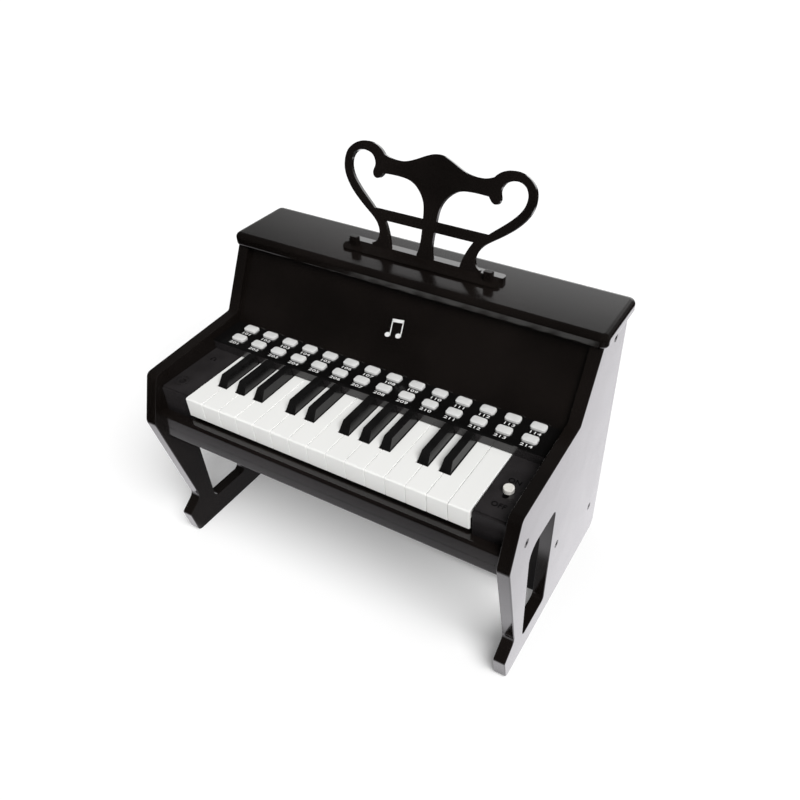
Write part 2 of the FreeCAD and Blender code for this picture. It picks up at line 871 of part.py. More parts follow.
def keyboard_tray():
    """Lower tray on the keybed: floor, rim, rear wall, contact strip rib and pivot posts."""
    wall = tray_wall
    floor_top = keybed_top + wall
    front = slip_back
    base = block(-module_half, module_half, tray_rear, front, keybed_top, floor_top)
    parts = [block(-module_half, module_half, front - wall, front, keybed_top, slip_top)]
    rear_half = module_half - cover_wall - module_clearance
    parts.append(block(-rear_half, rear_half, tray_rear, tray_rear + wall, keybed_top, panel_under))
    for sign in (-1, 1):
        a = sign * module_half
        b = sign * (module_half - wall)
        parts.append(block(min(a, b), max(a, b), tray_rear, front, keybed_top, slip_top))
    rib_rear = strip_middle - strip_rib_width / 2
    rib_front = strip_middle + strip_rib_width / 2
    rib_top = strip_top - strip_thickness
    parts.append(block(-keys_half, keys_half, rib_rear, rib_front, keybed_top, rib_top))
    posts = []
    plain = [k for k in range(1, white_count) if k not in blacks_after]
    spots = [(k - white_count / 2) * white_pitch for k in plain]
    spots += [-keys_half - post_thickness, keys_half + post_thickness]
    for x in spots:
        d0 = pivot_depth - post_depth / 2
        high = pivot_height + post_cap
        post = block(x - post_thickness / 2, x + post_thickness / 2, d0, d0 + post_depth, keybed_top, high)
        posts.append(post.cut(pivot_bore(x)))
    return joined(base, *(parts + posts))


def cheek(sign):
    """Block beside the keys, as a solid with a small step along its front edge."""
    a = sign * cheek_inner
    b = sign * module_half
    shape = block(min(a, b), max(a, b), riser_depth - cover_wall, cheek_front, slip_top, key_top)
    step = cheek_front - cheek_step_depth
    past = cheek_front + over_cut
    low = key_top - cheek_step_height
    return shape.cut(block(-outer_half, outer_half, step, past, low, key_top + over_cut))


def keyboard_cover():
    """Cheeks, riser and button panel in one moulding, with its holes and bosses."""
    wall = cover_wall
    rear = front_panel_depth(panel_top) - cover_rear_cover
    riser_back = riser_depth - wall
    panel = block(-module_half, module_half, rear, riser_depth, panel_under, panel_top)
    riser_low = key_top + riser_clearance
    riser = block(-module_half, module_half, riser_back, riser_depth, riser_low, panel_top)
    shell = joined(panel, riser)
    lip = [e for e in flat_edges(shell, panel_top) if e.BoundBox.YMax < back_y - riser_depth + hair]
    shell = shell.makeFillet(panel_edge_radius, lip)
    under = key_top - wall
    solids = []
    hollows = []
    for sign in (-1, 1):
        a = sign * module_half
        b = sign * (module_half - wall)
        c = sign * (cheek_inner + wall)
        solids.append(cheek(sign))
        solids.append(block(min(a, b), max(a, b), rear, riser_depth, slip_top, panel_top))
        end = sign * cheek_inner
        solids.append(block(min(a, end), max(a, end), riser_back, riser_depth, under, panel_top))
        low = slip_top - over_cut
        hollows.append(block(min(b, c), max(b, c), riser_back - over_cut, cheek_front - wall, low, under))
    shell = joined(shell, *solids).cut(hollows)
    shell = joined(shell, *cover_bosses())
    return without_screws(shell.cut(cover_holes()))


def cover_bosses():
    """Screw bosses in the cheeks, pillars for the circuit board and the socket's ring and cup."""
    bosses = []
    bite = cover_wall / 2
    d, z = screw_spots[0]
    for sign in (-1, 1):
        a = sign * (module_half - bite)
        b = sign * (module_half - screw_boss_length)
        bosses.append(rod_across(min(a, b), max(a, b), d, z, screw_boss_radius))
    middle = sum(button_rows) / 2
    for column in board_boss_columns:
        x = column * button_pitch
        bosses.append(rod_up(x, middle, board_top, panel_under + bite, board_boss_radius))
    ring_top = key_top + socket_ring_height
    bosses.append(rod_up(socket_x, socket_place, key_top - socket_depth, ring_top, socket_ring_radius))
    return bosses


def cover_holes():
    """Button holes, the switch slot, and the socket's bore and dished ring."""
    holes = []
    c = button_clearance
    wide = button_width + 2 * c
    deep = button_depth + 2 * c
    low = panel_under - over_cut
    for x in button_middles():
        for d in button_rows:
            holes.append(plan_pad(x, d, wide, deep, button_radius + c, low, panel_top + over_cut))
    slot = knob_neck + 2 * knob_slot_clearance
    middle = knob_depth + knob_travel / 2
    low = key_top - cover_wall - over_cut
    high = key_top + over_cut
    holes.append(plan_pad(cheek_middle, middle, slot, slot + knob_travel, slot / 2, low, high))
    top = key_top + socket_ring_height + over_cut
    dish = socket_ring_radius - socket_ring_width
    holes.append(rod_up(socket_x, socket_place, key_top - socket_ring_height, top, dish))
    floor = key_top - socket_depth + cover_wall
    holes.append(rod_up(socket_x, socket_place, floor, top, socket_bore_radius))
    return holes


# Buttons, circuit board and switch

def button_middles():
    return [(i - (button_columns - 1) / 2) * button_pitch for i in range(button_columns)]


def button(x, d):
    """Push button with a flange under the panel and a stem towards the circuit board."""
    flange_top = panel_under - button_flange_clearance
    top = panel_top + button_rise
    cap = plan_pad(x, d, button_width, button_depth, button_radius, flange_top, top)
    cap = cap.makeFillet(button_edge_radius, flat_edges(cap, top))
    wide = button_width + 2 * button_flange
    deep = button_depth + 2 * button_flange
    low = flange_top - button_flange_thickness
    flange = plan_pad(x, d, wide, deep, button_radius + button_flange, low, flange_top)
    stem = rod_up(x, d, low - button_stem_length, low, button_stem_radius)
    return joined(cap, flange, stem)


def main_circuit_board():
    """Board under the buttons with one chip on its underside."""
    half = module_half - board_side_margin
    front = riser_depth - cover_wall - board_margin_front
    board_rear = button_rows[1] - button_depth / 2 - board_margin_rear
    low = board_top - board_thickness
    board = block(-half, half, board_rear, front, low, board_top)
    middle = (board_rear + front) / 2 + chip_depth / 2
    chip = block(-chip_width / 2, chip_width / 2, middle - chip_depth, middle, low - chip_thickness, low)
    return joined(board, chip)


def power_switch_knob():
    """Round sliding knob, its neck through the slot and a flange under the cheek."""
    low = key_top + knob_lift
    high = low + knob_height
    cap = rod_up(cheek_middle, knob_depth, low, high, knob_radius)
    cap = cap.makeFillet(knob_edge_radius, flat_edges(cap, high))
    under = key_top - cover_wall - knob_flange_clearance
    neck = rod_up(cheek_middle, knob_depth, under, low, knob_neck / 2)
    wide = knob_flange_width
    base = under - knob_flange_thickness
    flange = plan_pad(cheek_middle, knob_depth, wide, wide, knob_flange_radius, base, under)
    return joined(cap, neck, flange)


# Equipment on the back panel

def speaker():
    """Loudspeaker: mounting flange, basket and magnet, turned about its axis."""
    d0 = back_panel_thickness
    d1 = d0 + speaker_flange
    d2 = d1 + speaker_cone_depth
    d3 = d2 + speaker_magnet_depth
    flange = rod_back(speaker_x, d0, d1, speaker_height, speaker_radius)
    at = place(speaker_x, d1, speaker_height)
    basket_radius = speaker_radius - speaker_flange
    basket = Part.makeCone(basket_radius, speaker_cone_radius, speaker_cone_depth, at, V(0, -1, 0))
    magnet = rod_back(speaker_x, d2, d3, speaker_height, speaker_magnet_radius)
    rim = basket_radius - speaker_flange
    front = place(speaker_x, d0, speaker_height)
    mouth = Part.makeCone(rim, speaker_flange, speaker_cone_depth, front, V(0, -1, 0))
    return joined(flange, basket, magnet).cut(mouth)


def battery_box():
    """Cup for the cells, with a flange behind the back panel's opening."""
    d0 = back_panel_thickness
    w = battery_width / 2
    h = battery_tall / 2
    f = battery_flange
    d1 = d0 + battery_flange_thickness
    left = battery_x - w
    right = battery_x + w
    low = battery_height - h
    high = battery_height + h
    flange = block(left - f, right + f, d0, d1, low - f, high + f)
    cup = block(left, right, d0, d0 + battery_depth, low, high)
    r = battery_rim
    floor = d0 + battery_depth - battery_wall
    hollow = block(left + r, right - r, d0 - over_cut, floor, low + r, high - r)
    return joined(flange, cup).cut(hollow)


def battery_door():
    """Flush door with a round finger pull."""
    w = battery_width / 2 - battery_door_clearance
    h = battery_tall / 2 - battery_door_clearance
    high = battery_height + h
    door = block(battery_x - w, battery_x + w, 0, back_panel_thickness, battery_height - h, high)
    pull_height = high - 2 * battery_pull_radius
    pull = rod_back(battery_x, -over_cut, battery_pull_depth, pull_height, battery_pull_radius)
    return door.cut(pull)


blacks_after, black_shifts = black_layout()


def build():
    os.makedirs("parts", exist_ok=True)
    save("left_side_panel", side_panel(-1))
    save("right_side_panel", side_panel(1))
    save("case_screws", case_screws())
    save("top_lid", top_lid())
    save("upper_front_panel", upper_front_panel())
    save("back_panel", back_panel())
    save("bottom_board", bottom_board())
    save("knee_panel", knee_panel())
    save("keybed", keybed())
    save("key_slip", key_slip())
    save("music_stand", music_stand())
    save("music_stand_ledge", music_stand_ledge())
    for i in range(white_count):
        save("white_key_%02d" % (i + 1), white_key(i))
    for n in range(len(blacks_after)):
        save("black_key_%02d" % (n + 1), black_key(n))
    save("key_pivot_rod", key_pivot_rod())
    save("key_contact_strip", key_contact_strip())
    save("keyboard_tray", keyboard_tray())
    save("keyboard_cover", keyboard_cover())
    for i, x in enumerate(button_middles()):
        save("button_pair_%02d" % (i + 1), Part.makeCompound([button(x, d) for d in button_rows]))
    save("main_circuit_board", main_circuit_board())
    save("power_switch_knob", power_switch_knob())
    save("speaker", speaker())
    save("battery_box", battery_box())
    save("battery_door", battery_door())


build()
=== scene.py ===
import json
import math

import bmesh
import bpy
from bpy.props import FloatProperty, FloatVectorProperty, PointerProperty
from mathutils import Matrix, Vector


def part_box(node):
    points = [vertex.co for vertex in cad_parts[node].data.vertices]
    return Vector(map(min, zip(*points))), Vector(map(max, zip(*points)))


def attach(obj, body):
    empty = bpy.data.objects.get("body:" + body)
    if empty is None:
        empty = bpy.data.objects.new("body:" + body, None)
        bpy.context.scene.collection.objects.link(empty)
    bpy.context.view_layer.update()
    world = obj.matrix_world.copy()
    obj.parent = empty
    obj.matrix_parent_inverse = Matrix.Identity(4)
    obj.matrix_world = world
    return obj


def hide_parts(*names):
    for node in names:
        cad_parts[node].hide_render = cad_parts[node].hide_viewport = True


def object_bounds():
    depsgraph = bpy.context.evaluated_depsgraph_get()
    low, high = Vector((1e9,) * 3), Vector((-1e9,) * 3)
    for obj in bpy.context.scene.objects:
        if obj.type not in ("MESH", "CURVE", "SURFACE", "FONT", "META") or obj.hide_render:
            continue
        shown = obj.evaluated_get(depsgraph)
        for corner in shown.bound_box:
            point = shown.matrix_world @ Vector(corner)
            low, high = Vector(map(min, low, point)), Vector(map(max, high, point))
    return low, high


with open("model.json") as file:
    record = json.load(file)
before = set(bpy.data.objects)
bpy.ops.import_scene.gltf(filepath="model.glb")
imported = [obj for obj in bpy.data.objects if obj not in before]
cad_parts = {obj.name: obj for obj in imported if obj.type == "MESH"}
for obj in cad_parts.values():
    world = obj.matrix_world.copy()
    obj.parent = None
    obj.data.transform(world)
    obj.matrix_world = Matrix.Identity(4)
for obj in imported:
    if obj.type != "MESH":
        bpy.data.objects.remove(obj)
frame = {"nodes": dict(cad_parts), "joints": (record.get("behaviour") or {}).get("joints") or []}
cad_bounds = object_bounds()

bl_info = {
    "name": "Toy Piano Dressing",
    "version": (1, 0, 0),
    "blender": (4, 5, 0),
    "location": "3D View > Sidebar > Toy Piano",
    "description": "Finishes, buttons, screws, printed marks and a white studio for a toy upright piano",
    "category": "Object",
}

# Node names of the frame, by what they are made of
LACQUERED = (
    "left_side_panel", "right_side_panel", "top_lid", "upper_front_panel", "back_panel", "bottom_board",
    "keybed", "key_slip", "music_stand", "music_stand_ledge",
)
WHITE_KEYS = sorted(n for n in frame["nodes"] if n.startswith("white_key"))
BLACK_KEYS = sorted(n for n in frame["nodes"] if n.startswith("black_key"))
BUTTON_PAIRS = sorted(n for n in frame["nodes"] if n.startswith("button_pair"))

# Heights and places that the frame gives
PANEL_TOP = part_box("keyboard_cover")[1].z
KEY_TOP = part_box("white_key_01")[1].z
COVER_WALL = 0.0025
CASE = "case"


# Settings

class ToyPianoColours(bpy.types.PropertyGroup):
    """Colours of the finishes."""

    lacquer: FloatVectorProperty(
        name="Lacquer", description="Black lacquer on the wooden boards", subtype="COLOR", size=3,
        default=(0.0062, 0.0048, 0.0042), min=0, max=1)
    white_key: FloatVectorProperty(
        name="White keys", description="Plastic of the white keys", subtype="COLOR", size=3,
        default=(0.87, 0.87, 0.85), min=0, max=1)
    black_key: FloatVectorProperty(
        name="Black keys", description="Plastic of the black keys", subtype="COLOR", size=3,
        default=(0.0062, 0.0060, 0.0060), min=0, max=1)
    moulding: FloatVectorProperty(
        name="Moulding", description="Textured plastic beside and behind the keys",
        subtype="COLOR", size=3, default=(0.022, 0.0200, 0.0206), min=0, max=1)
    panel: FloatVectorProperty(
        name="Button panel", description="Polished plastic around the buttons", subtype="COLOR", size=3,
        default=(0.0042, 0.0040, 0.0040), min=0, max=1)
    button: FloatVectorProperty(
        name="Buttons", description="Soft plastic of the buttons", subtype="COLOR", size=3,
        default=(0.68, 0.68, 0.67), min=0, max=1)
    knob: FloatVectorProperty(
        name="Knob", description="Plastic of the power switch knob", subtype="COLOR", size=3,
        default=(0.74, 0.725, 0.68), min=0, max=1)
    ink: FloatVectorProperty(
        name="Ink", description="White ink of the printed marks", subtype="COLOR", size=3,
        default=(0.84, 0.84, 0.83), min=0, max=1)


class ToyPianoSizes(bpy.types.PropertyGroup):
    """Sizes of the pieces that are added to the frame."""

    button_width: FloatProperty(
        name="Button width", description="Width of a button above the panel",
        unit="LENGTH", default=0.0145)
    button_depth: FloatProperty(
        name="Button depth", description="Depth of a button above the panel",
        unit="LENGTH", default=0.0095)
    button_corner: FloatProperty(
        name="Button corner", description="Corner radius of a button in plan",
        unit="LENGTH", default=0.0028)
    button_edge: FloatProperty(
        name="Button edge", description="Rounding of a button's upper edge",
        unit="LENGTH", default=0.0008)
    button_crown: FloatProperty(
        name="Button crown", description="Rise of a button's middle over its rim",
        unit="LENGTH", default=0.0003)
    button_flange: FloatProperty(
        name="Button flange", description="Reach of the flange under the panel",
        unit="LENGTH", default=0.0014)
    flange_thickness: FloatProperty(
        name="Flange thickness", description="Thickness of a button's flange",
        unit="LENGTH", default=0.0018)
    stem_radius: FloatProperty(
        name="Button stem", description="Radius of the stem under a button",
        unit="LENGTH", default=0.0025)
    number_height: FloatProperty(
        name="Number height", description="Height of the printed numbers",
        unit="LENGTH", default=0.0034)
    number_stretch: FloatProperty(
        name="Number stretch", description="How much wider than usual the printed numbers are",
        default=1.6, min=0.1)
    number_gap: FloatProperty(
        name="Number place", description="Distance from a button's middle to its number",
        unit="LENGTH", default=0.0066)
    word_height: FloatProperty(
        name="Switch word height", description="Height of the raised switch words",
        unit="LENGTH", default=0.0052)
    word_gap: FloatProperty(
        name="Switch word place", description="Distance from the switch slot's middle to a word",
        unit="LENGTH", default=0.0150)
    word_rise: FloatProperty(
        name="Switch word rise", description="How far the switch words stand up",
        unit="LENGTH", default=0.0003)
    ink_rise: FloatProperty(
        name="Ink thickness", description="Thickness of the printed ink",
        unit="LENGTH", default=0.00005)
    sign_place: FloatVectorProperty(
        name="Earphone sign place", description="Middle of the earphone sign, across and deep",
        subtype="TRANSLATION", size=2, unit="LENGTH", default=(-0.1708, -0.0415))
    notes_height: FloatProperty(
        name="Note pair height", description="Height of the printed pair of notes",
        unit="LENGTH", default=0.019)
    notes_across: FloatProperty(
        name="Note pair place", description="Place of the note pair across the panel",
        unit="LENGTH", default=-0.0025)
    notes_up: FloatProperty(
        name="Note pair height on panel", description="Height of the note pair's middle",
        unit="LENGTH", default=0.2375)
    screw_head: FloatProperty(
        name="Screw head", description="Radius of a case screw's head", unit="LENGTH", default=0.0040)
    screw_shank: FloatProperty(
        name="Screw shank", description="Radius of a case screw's shank", unit="LENGTH", default=0.0020)
    screw_socket: FloatProperty(
        name="Screw socket", description="Half the width of the hexagon socket",
        unit="LENGTH", default=0.0016)


class ToyPianoStudio(bpy.types.PropertyGroup):
    """Camera and light of the studio."""

    camera_place: FloatVectorProperty(
        name="Camera place", description="Where the camera stands",
        subtype="TRANSLATION", size=3, unit="LENGTH", default=(0.331160, -0.443949, 0.608546))
    camera_turn: FloatVectorProperty(
        name="Camera turn", description="How the camera is turned",
        subtype="EULER", size=3, unit="ROTATION",
        default=(math.radians(48.083), 0.0, math.radians(28.703)))
    camera_lens: FloatProperty(
        name="Focal length", description="Focal length on a 36 mm sensor", default=32.648, min=1)
    camera_shift: FloatVectorProperty(
        name="Camera shift", description="Shift of the picture across and up",
        size=2, default=(-0.0780, 0.0577))
    key_light: FloatProperty(
        name="Key light", description="Strength of the large light", default=3.5, min=0)
    key_spread: FloatProperty(
        name="Key light spread", description="Angle that the large light fills", subtype="ANGLE",
        default=math.radians(42))
    key_turn: FloatVectorProperty(
        name="Key light turn", description="How the large light is turned",
        subtype="EULER", size=3, unit="ROTATION",
        default=(math.radians(19), math.radians(36), 0.0))
    room_light: FloatProperty(
        name="Room light", description="Light that comes from all sides", default=0.20, min=0)
    floor_glow: FloatProperty(
        name="Floor glow", description="White that the camera sees on the floor besides its own",
        default=0.17, min=0)
    mirror_floor: FloatProperty(
        name="Floor in mirrors", description="Brightness of the floor in glossy faces",
        default=1.3, min=0)
    mirror_shade: FloatProperty(
        name="Shade in mirrors", description="Brightness under the piano in glossy faces",
        default=0.15, min=0)
    mirror_wall: FloatProperty(
        name="Wall in mirrors", description="Brightness of the wall behind in glossy faces",
        default=1.4, min=0)


class ToyPianoSettings(bpy.types.PropertyGroup):
    """All settings of the toy piano."""

    colours: PointerProperty(type=ToyPianoColours)
    sizes: PointerProperty(type=ToyPianoSizes)
    studio: PointerProperty(type=ToyPianoStudio)


def settings():
    return bpy.context.scene.toy_piano


# Material building

class ShaderTree:
    """A shader tree being built, of a material or of the world."""

    def __init__(self, tree):
        self.tree = tree

    def node(self, kind, **options):
        made = self.tree.nodes.new("ShaderNode" + kind)
        for name, value in options.items():
            setattr(made, name, value)
        return made

    def join(self, source, target):
        """Link a socket, or set the target to a plain value."""
        if isinstance(source, bpy.types.NodeSocket):
            self.tree.links.new(source, target)
        else:
            target.default_value = source

    def math(self, operation, first, second=0.0):
        made = self.node("Math", operation=operation)
        self.join(first, made.inputs[0])
        self.join(second, made.inputs[1])
        return made.outputs["Value"]

    def product(self, first, second):
        return self.math("MULTIPLY", first, second)

    def between(self, factor, low, high, start=0.3, end=0.7):
        """A value from low to high while a factor goes from start to end."""
        made = self.node("MapRange", interpolation_type="SMOOTHSTEP")
        self.join(factor, made.inputs["Value"])
        made.inputs["From Min"].default_value = start
        made.inputs["From Max"].default_value = end
        self.join(low, made.inputs["To Min"])
        self.join(high, made.inputs["To Max"])
        return made.outputs["Result"]

    def axes(self, place):
        """The three parts of a place or a direction."""
        split = self.node("SeparateXYZ")
        self.join(place, split.inputs["Vector"])
        return split.outputs

    def light(self, kind, colour, strength):
        """A shader that gives light: Emission or Background."""
        made = self.node(kind)
        made.inputs["Color"].default_value = opaque(colour)
        self.join(strength, made.inputs["Strength"])
        return made.outputs[0]

    def blend(self, factor, first, second):
        """The first shader where the factor is nothing, the second where it is one."""
        made = self.node("MixShader")
        self.join(factor, made.inputs["Fac"])
        self.join(first, made.inputs[1])
        self.join(second, made.inputs[2])
        return made.outputs["Shader"]

    def mirrored(self):
        """One for rays that come from a glossy or a clear face."""
        path = self.node("LightPath").outputs
        return self.math("MAXIMUM", path["Is Glossy Ray"], path["Is Transmission Ray"])

    def seen(self):
        """One for rays that come straight from the camera."""
        return self.node("LightPath").outputs["Is Camera Ray"]


class Finish(ShaderTree):
    """A material being built: its tree, its shader and the coordinates of the piece itself."""

    def __init__(self, name):
        self.material = bpy.data.materials.new(name)
        self.material.use_nodes = True
        super().__init__(self.material.node_tree)
        self.shader = self.tree.nodes["Principled BSDF"]
        self.place = self.node("TexCoord").outputs["Object"]

    def moved(self, shift=(0, 0, 0), stretch=(1, 1, 1)):
        """The piece's coordinates, shifted and stretched."""
        mapping = self.node("Mapping")
        mapping.inputs["Location"].default_value = shift
        mapping.inputs["Scale"].default_value = stretch
        self.join(self.place, mapping.inputs["Vector"])
        return mapping.outputs["Vector"]

    def noise(self, scale, detail=2.0, where=None):
        made = self.node("TexNoise")
        made.inputs["Scale"].default_value = scale
        made.inputs["Detail"].default_value = detail
        self.join(where or self.place, made.inputs["Vector"])
        return made.outputs["Fac"]

    def specks(self, scale, size):
        """One inside small round specks, nothing elsewhere."""
        made = self.node("TexVoronoi")
        made.inputs["Scale"].default_value = scale
        self.join(self.place, made.inputs["Vector"])
        return self.between(made.outputs["Distance"], 1.0, 0.0, size * 0.6, size)

    def mixed(self, factor, first, second):
        """A colour between two colours."""
        made = self.node("Mix", data_type="RGBA")
        self.join(factor, made.inputs["Factor"])
        self.join(opaque(first), made.inputs[6])
        self.join(opaque(second), made.inputs[7])
        return made.outputs[2]

    def height_mask(self, low, high):
        """Nothing below one height and one above another."""
        return self.between(self.axes(self.place)["Z"], 0.0, 1.0, low, high)

    def colour(self, source):
        self.join(source, self.shader.inputs["Base Color"])

    def roughness(self, source):
        self.join(source, self.shader.inputs["Roughness"])

    def set(self, **values):
        """Plain values on the shader's own sockets, such as Coat_Weight=1."""
        for name, value in values.items():
            self.shader.inputs[name.replace("_", " ")].default_value = value

    def relief(self, *layers, coat=False):
        """Bump from layers of (height, strength, distance), on the coat too if it has one."""
        normal = None
        for height, strength, distance in layers:
            made = self.node("Bump")
            self.join(height, made.inputs["Height"])
            self.join(strength, made.inputs["Strength"])
            made.inputs["Distance"].default_value = distance
            if normal:
                self.join(normal, made.inputs["Normal"])
            normal = made.outputs["Normal"]
        self.join(normal, self.shader.inputs["Normal"])
        if coat:
            self.join(normal, self.shader.inputs["Coat Normal"])


def opaque(colour):
    """A plain colour with an alpha of one; sockets pass through."""
    if isinstance(colour, bpy.types.NodeSocket):
        return colour
    return (*colour[:3], 1.0)


def tinted(colour, factor):
    return tuple(channel * factor for channel in colour)


def lacquer_finish():
    """Semi-gloss black lacquer over wood: slight orange peel, drifting sheen and fine dust."""
    colour = tuple(settings().colours.lacquer)
    made = Finish("black lacquer")
    drift = made.between(made.noise(11.0, 3.0), 0.0, 1.0)
    dust = made.product(made.specks(620.0, 0.09), 0.10)
    dust_colour = (0.03, 0.029, 0.029)
    body = made.mixed(drift, tinted(colour, 0.72), tinted(colour, 1.35))
    made.colour(made.mixed(dust, body, dust_colour))
    made.roughness(made.between(made.noise(30.0, 3.0), 0.20, 0.25))
    made.set(Coat_Weight=1.0, Coat_Roughness=0.12, Coat_IOR=1.5, Specular_IOR_Level=0.15)
    peel = made.noise(160.0, 1.0)
    made.relief((peel, 0.03, 0.0003), coat=True)
    return made.material


def matt_paint_finish():
    """Matt black paint, rolled on, for the board under the keyboard."""
    colour = tuple(settings().colours.lacquer)
    made = Finish("matt black paint")
    drift = made.between(made.noise(14.0, 3.0), 0.0, 1.0)
    made.colour(made.mixed(drift, tinted(colour, 1.2), tinted(colour, 1.9)))
    rolled = made.noise(420.0, 2.0)
    made.roughness(made.between(rolled, 0.36, 0.48))
    made.set(Specular_IOR_Level=0.35)
    made.relief((rolled, 0.06, 0.0002))
    return made.material


def white_key_finish():
    """Glossy white plastic with a faint moulding flow and light finger wear."""
    colour = tuple(settings().colours.white_key)
    made = Finish("white key plastic")
    flow = made.noise(35.0, 2.0, made.moved(stretch=(1.0, 0.2, 1.0)))
    made.colour(made.mixed(made.between(flow, 0.0, 1.0), tinted(colour, 0.988), tinted(colour, 1.008)))
    made.roughness(made.between(made.noise(60.0, 1.0), 0.24, 0.27))
    made.set(Specular_IOR_Level=0.5)
    made.relief((made.noise(90.0, 1.0), 0.01, 0.0002))
    return made.material


def black_key_finish():
    """Satin black plastic with fine lengthwise rubbing marks."""
    colour = tuple(settings().colours.black_key)
    made = Finish("black key plastic")
    drift = made.between(made.noise(70.0, 3.0), 0.0, 1.0)
    made.colour(made.mixed(drift, tinted(colour, 0.8), tinted(colour, 1.3)))
    rubbed = made.noise(900.0, 3.0, made.moved(stretch=(1.0, 0.06, 1.0)))
    made.roughness(made.between(rubbed, 0.15, 0.23))
    made.set(Specular_IOR_Level=0.5)
    made.relief((rubbed, 0.03, 0.0001), (made.noise(1600.0, 2.0), 0.02, 0.0001))
    return made.material


def moulding_finish():
    """Spark-textured dark plastic below, turning into a polished black panel at the top."""
    colours = settings().colours
    made = Finish("keyboard moulding")
    polished = made.height_mask(PANEL_TOP - 0.0022, PANEL_TOP - 0.0004)
    drift = made.between(made.noise(48.0, 3.0), 0.0, 1.0)
    rough_body = made.mixed(drift, tinted(colours.moulding, 0.85), tinted(colours.moulding, 1.2))
    made.colour(made.mixed(polished, rough_body, tuple(colours.panel)))
    grain = made.noise(2300.0, 3.0)
    made.roughness(made.between(polished, made.between(grain, 0.18, 0.26), 0.12, 0.0, 1.0))
    made.set(Specular_IOR_Level=0.6)
    grain_depth = made.between(polished, 0.06, 0.0, 0.0, 1.0)
    made.relief((grain, grain_depth, 0.0002), (made.noise(120.0), 0.02, 0.0003))
    return made.material


def plain_moulding_finish():
    """Dark textured plastic of the tray and the battery box."""
    colour = tuple(settings().colours.moulding)
    made = Finish("dark moulded plastic")
    drift = made.between(made.noise(40.0, 3.0), 0.0, 1.0)
    made.colour(made.mixed(drift, tinted(colour, 0.7), tinted(colour, 1.05)))
    grain = made.noise(2100.0, 3.0)
    made.roughness(made.between(grain, 0.42, 0.58))
    made.relief((grain, 0.25, 0.0002))
    return made.material


def raised_word_finish():
    """Deep black of the raised words, a little rubbed."""
    colour = tuple(settings().colours.panel)
    made = Finish("raised words")
    rubbed = made.between(made.noise(900.0, 3.0), 0.0, 1.0)
    made.colour(made.mixed(rubbed, tinted(colour, 0.6), tinted(colour, 1.1)))
    made.roughness(made.between(made.noise(1300.0, 3.0), 0.45, 0.60))
    made.set(Specular_IOR_Level=0.2)
    made.relief((made.noise(2400.0), 0.05, 0.0001))
    return made.material


def button_finish():
    """Light grey soft plastic, very finely grained."""
    colour = tuple(settings().colours.button)
    made = Finish("button plastic")
    drift = made.between(made.noise(160.0, 3.0), 0.0, 1.0)
    made.colour(made.mixed(drift, tinted(colour, 0.955), tinted(colour, 1.03)))
    grain = made.noise(2600.0, 2.0)
    made.roughness(made.between(grain, 0.42, 0.55))
    made.relief((grain, 0.12, 0.0001))
    return made.material


def knob_finish():
    """Cream satin plastic above the cheek, and the dark slider below it."""
    colours = settings().colours
    made = Finish("knob plastic")
    drift = made.between(made.noise(300.0, 3.0), 0.0, 1.0)
    cap = made.mixed(drift, tinted(colours.knob, 0.95), tinted(colours.knob, 1.03))
    slider = made.mixed(drift, tinted(colours.panel, 0.9), tinted(colours.panel, 1.2))
    made.colour(made.mixed(made.height_mask(KEY_TOP - 0.0001, KEY_TOP + 0.0001), slider, cap))
    made.roughness(made.between(made.noise(700.0, 3.0), 0.30, 0.42))
    made.relief((made.noise(1900.0), 0.06, 0.0001))
    return made.material


def ink_finish():
    """White screen-printing ink, a little thin in places."""
    colour = tuple(settings().colours.ink)
    made = Finish("white print")
    thin = made.between(made.noise(1400.0, 3.0), 0.0, 1.0, 0.25, 0.55)
    made.colour(made.mixed(thin, tinted(colour, 0.82), colour))
    made.roughness(made.between(made.noise(2200.0), 0.40, 0.55))
    made.relief((made.noise(2600.0), 0.08, 0.00005))
    return made.material


def screw_finish():
    """Blackened steel, rubbed a little brighter here and there."""
    dark = (0.035, 0.034, 0.034)
    bright = (0.13, 0.128, 0.125)
    made = Finish("blackened screw steel")
    rubbed = made.between(made.noise(520.0, 4.0), 0.0, 1.0, 0.45, 0.75)
    made.colour(made.mixed(rubbed, dark, bright))
    made.roughness(made.between(made.noise(900.0, 3.0), 0.28, 0.45))
    made.set(Metallic=0.85)
    made.relief((made.noise(1800.0), 0.08, 0.0001))
    return made.material


def steel_finish():
    """Drawn steel rod with marks along its length."""
    dark = (0.48, 0.475, 0.465)
    bright = (0.62, 0.615, 0.60)
    made = Finish("drawn steel")
    drawn = made.noise(1200.0, 3.0, made.moved(stretch=(0.03, 1.0, 1.0)))
    made.colour(made.mixed(made.between(drawn, 0.0, 1.0), dark, bright))
    made.roughness(made.between(drawn, 0.22, 0.38))
    made.set(Metallic=1.0)
    made.relief((drawn, 0.08, 0.0001))
    return made.material


def rubber_finish():
    """Grey silicone rubber."""
    dark = (0.26, 0.26, 0.265)
    light = (0.33, 0.33, 0.335)
    made = Finish("contact rubber")
    made.colour(made.mixed(made.between(made.noise(90.0, 3.0), 0.0, 1.0), dark, light))
    made.roughness(made.between(made.noise(800.0, 3.0), 0.62, 0.78))
    made.relief((made.noise(1700.0), 0.15, 0.0001))
    return made.material


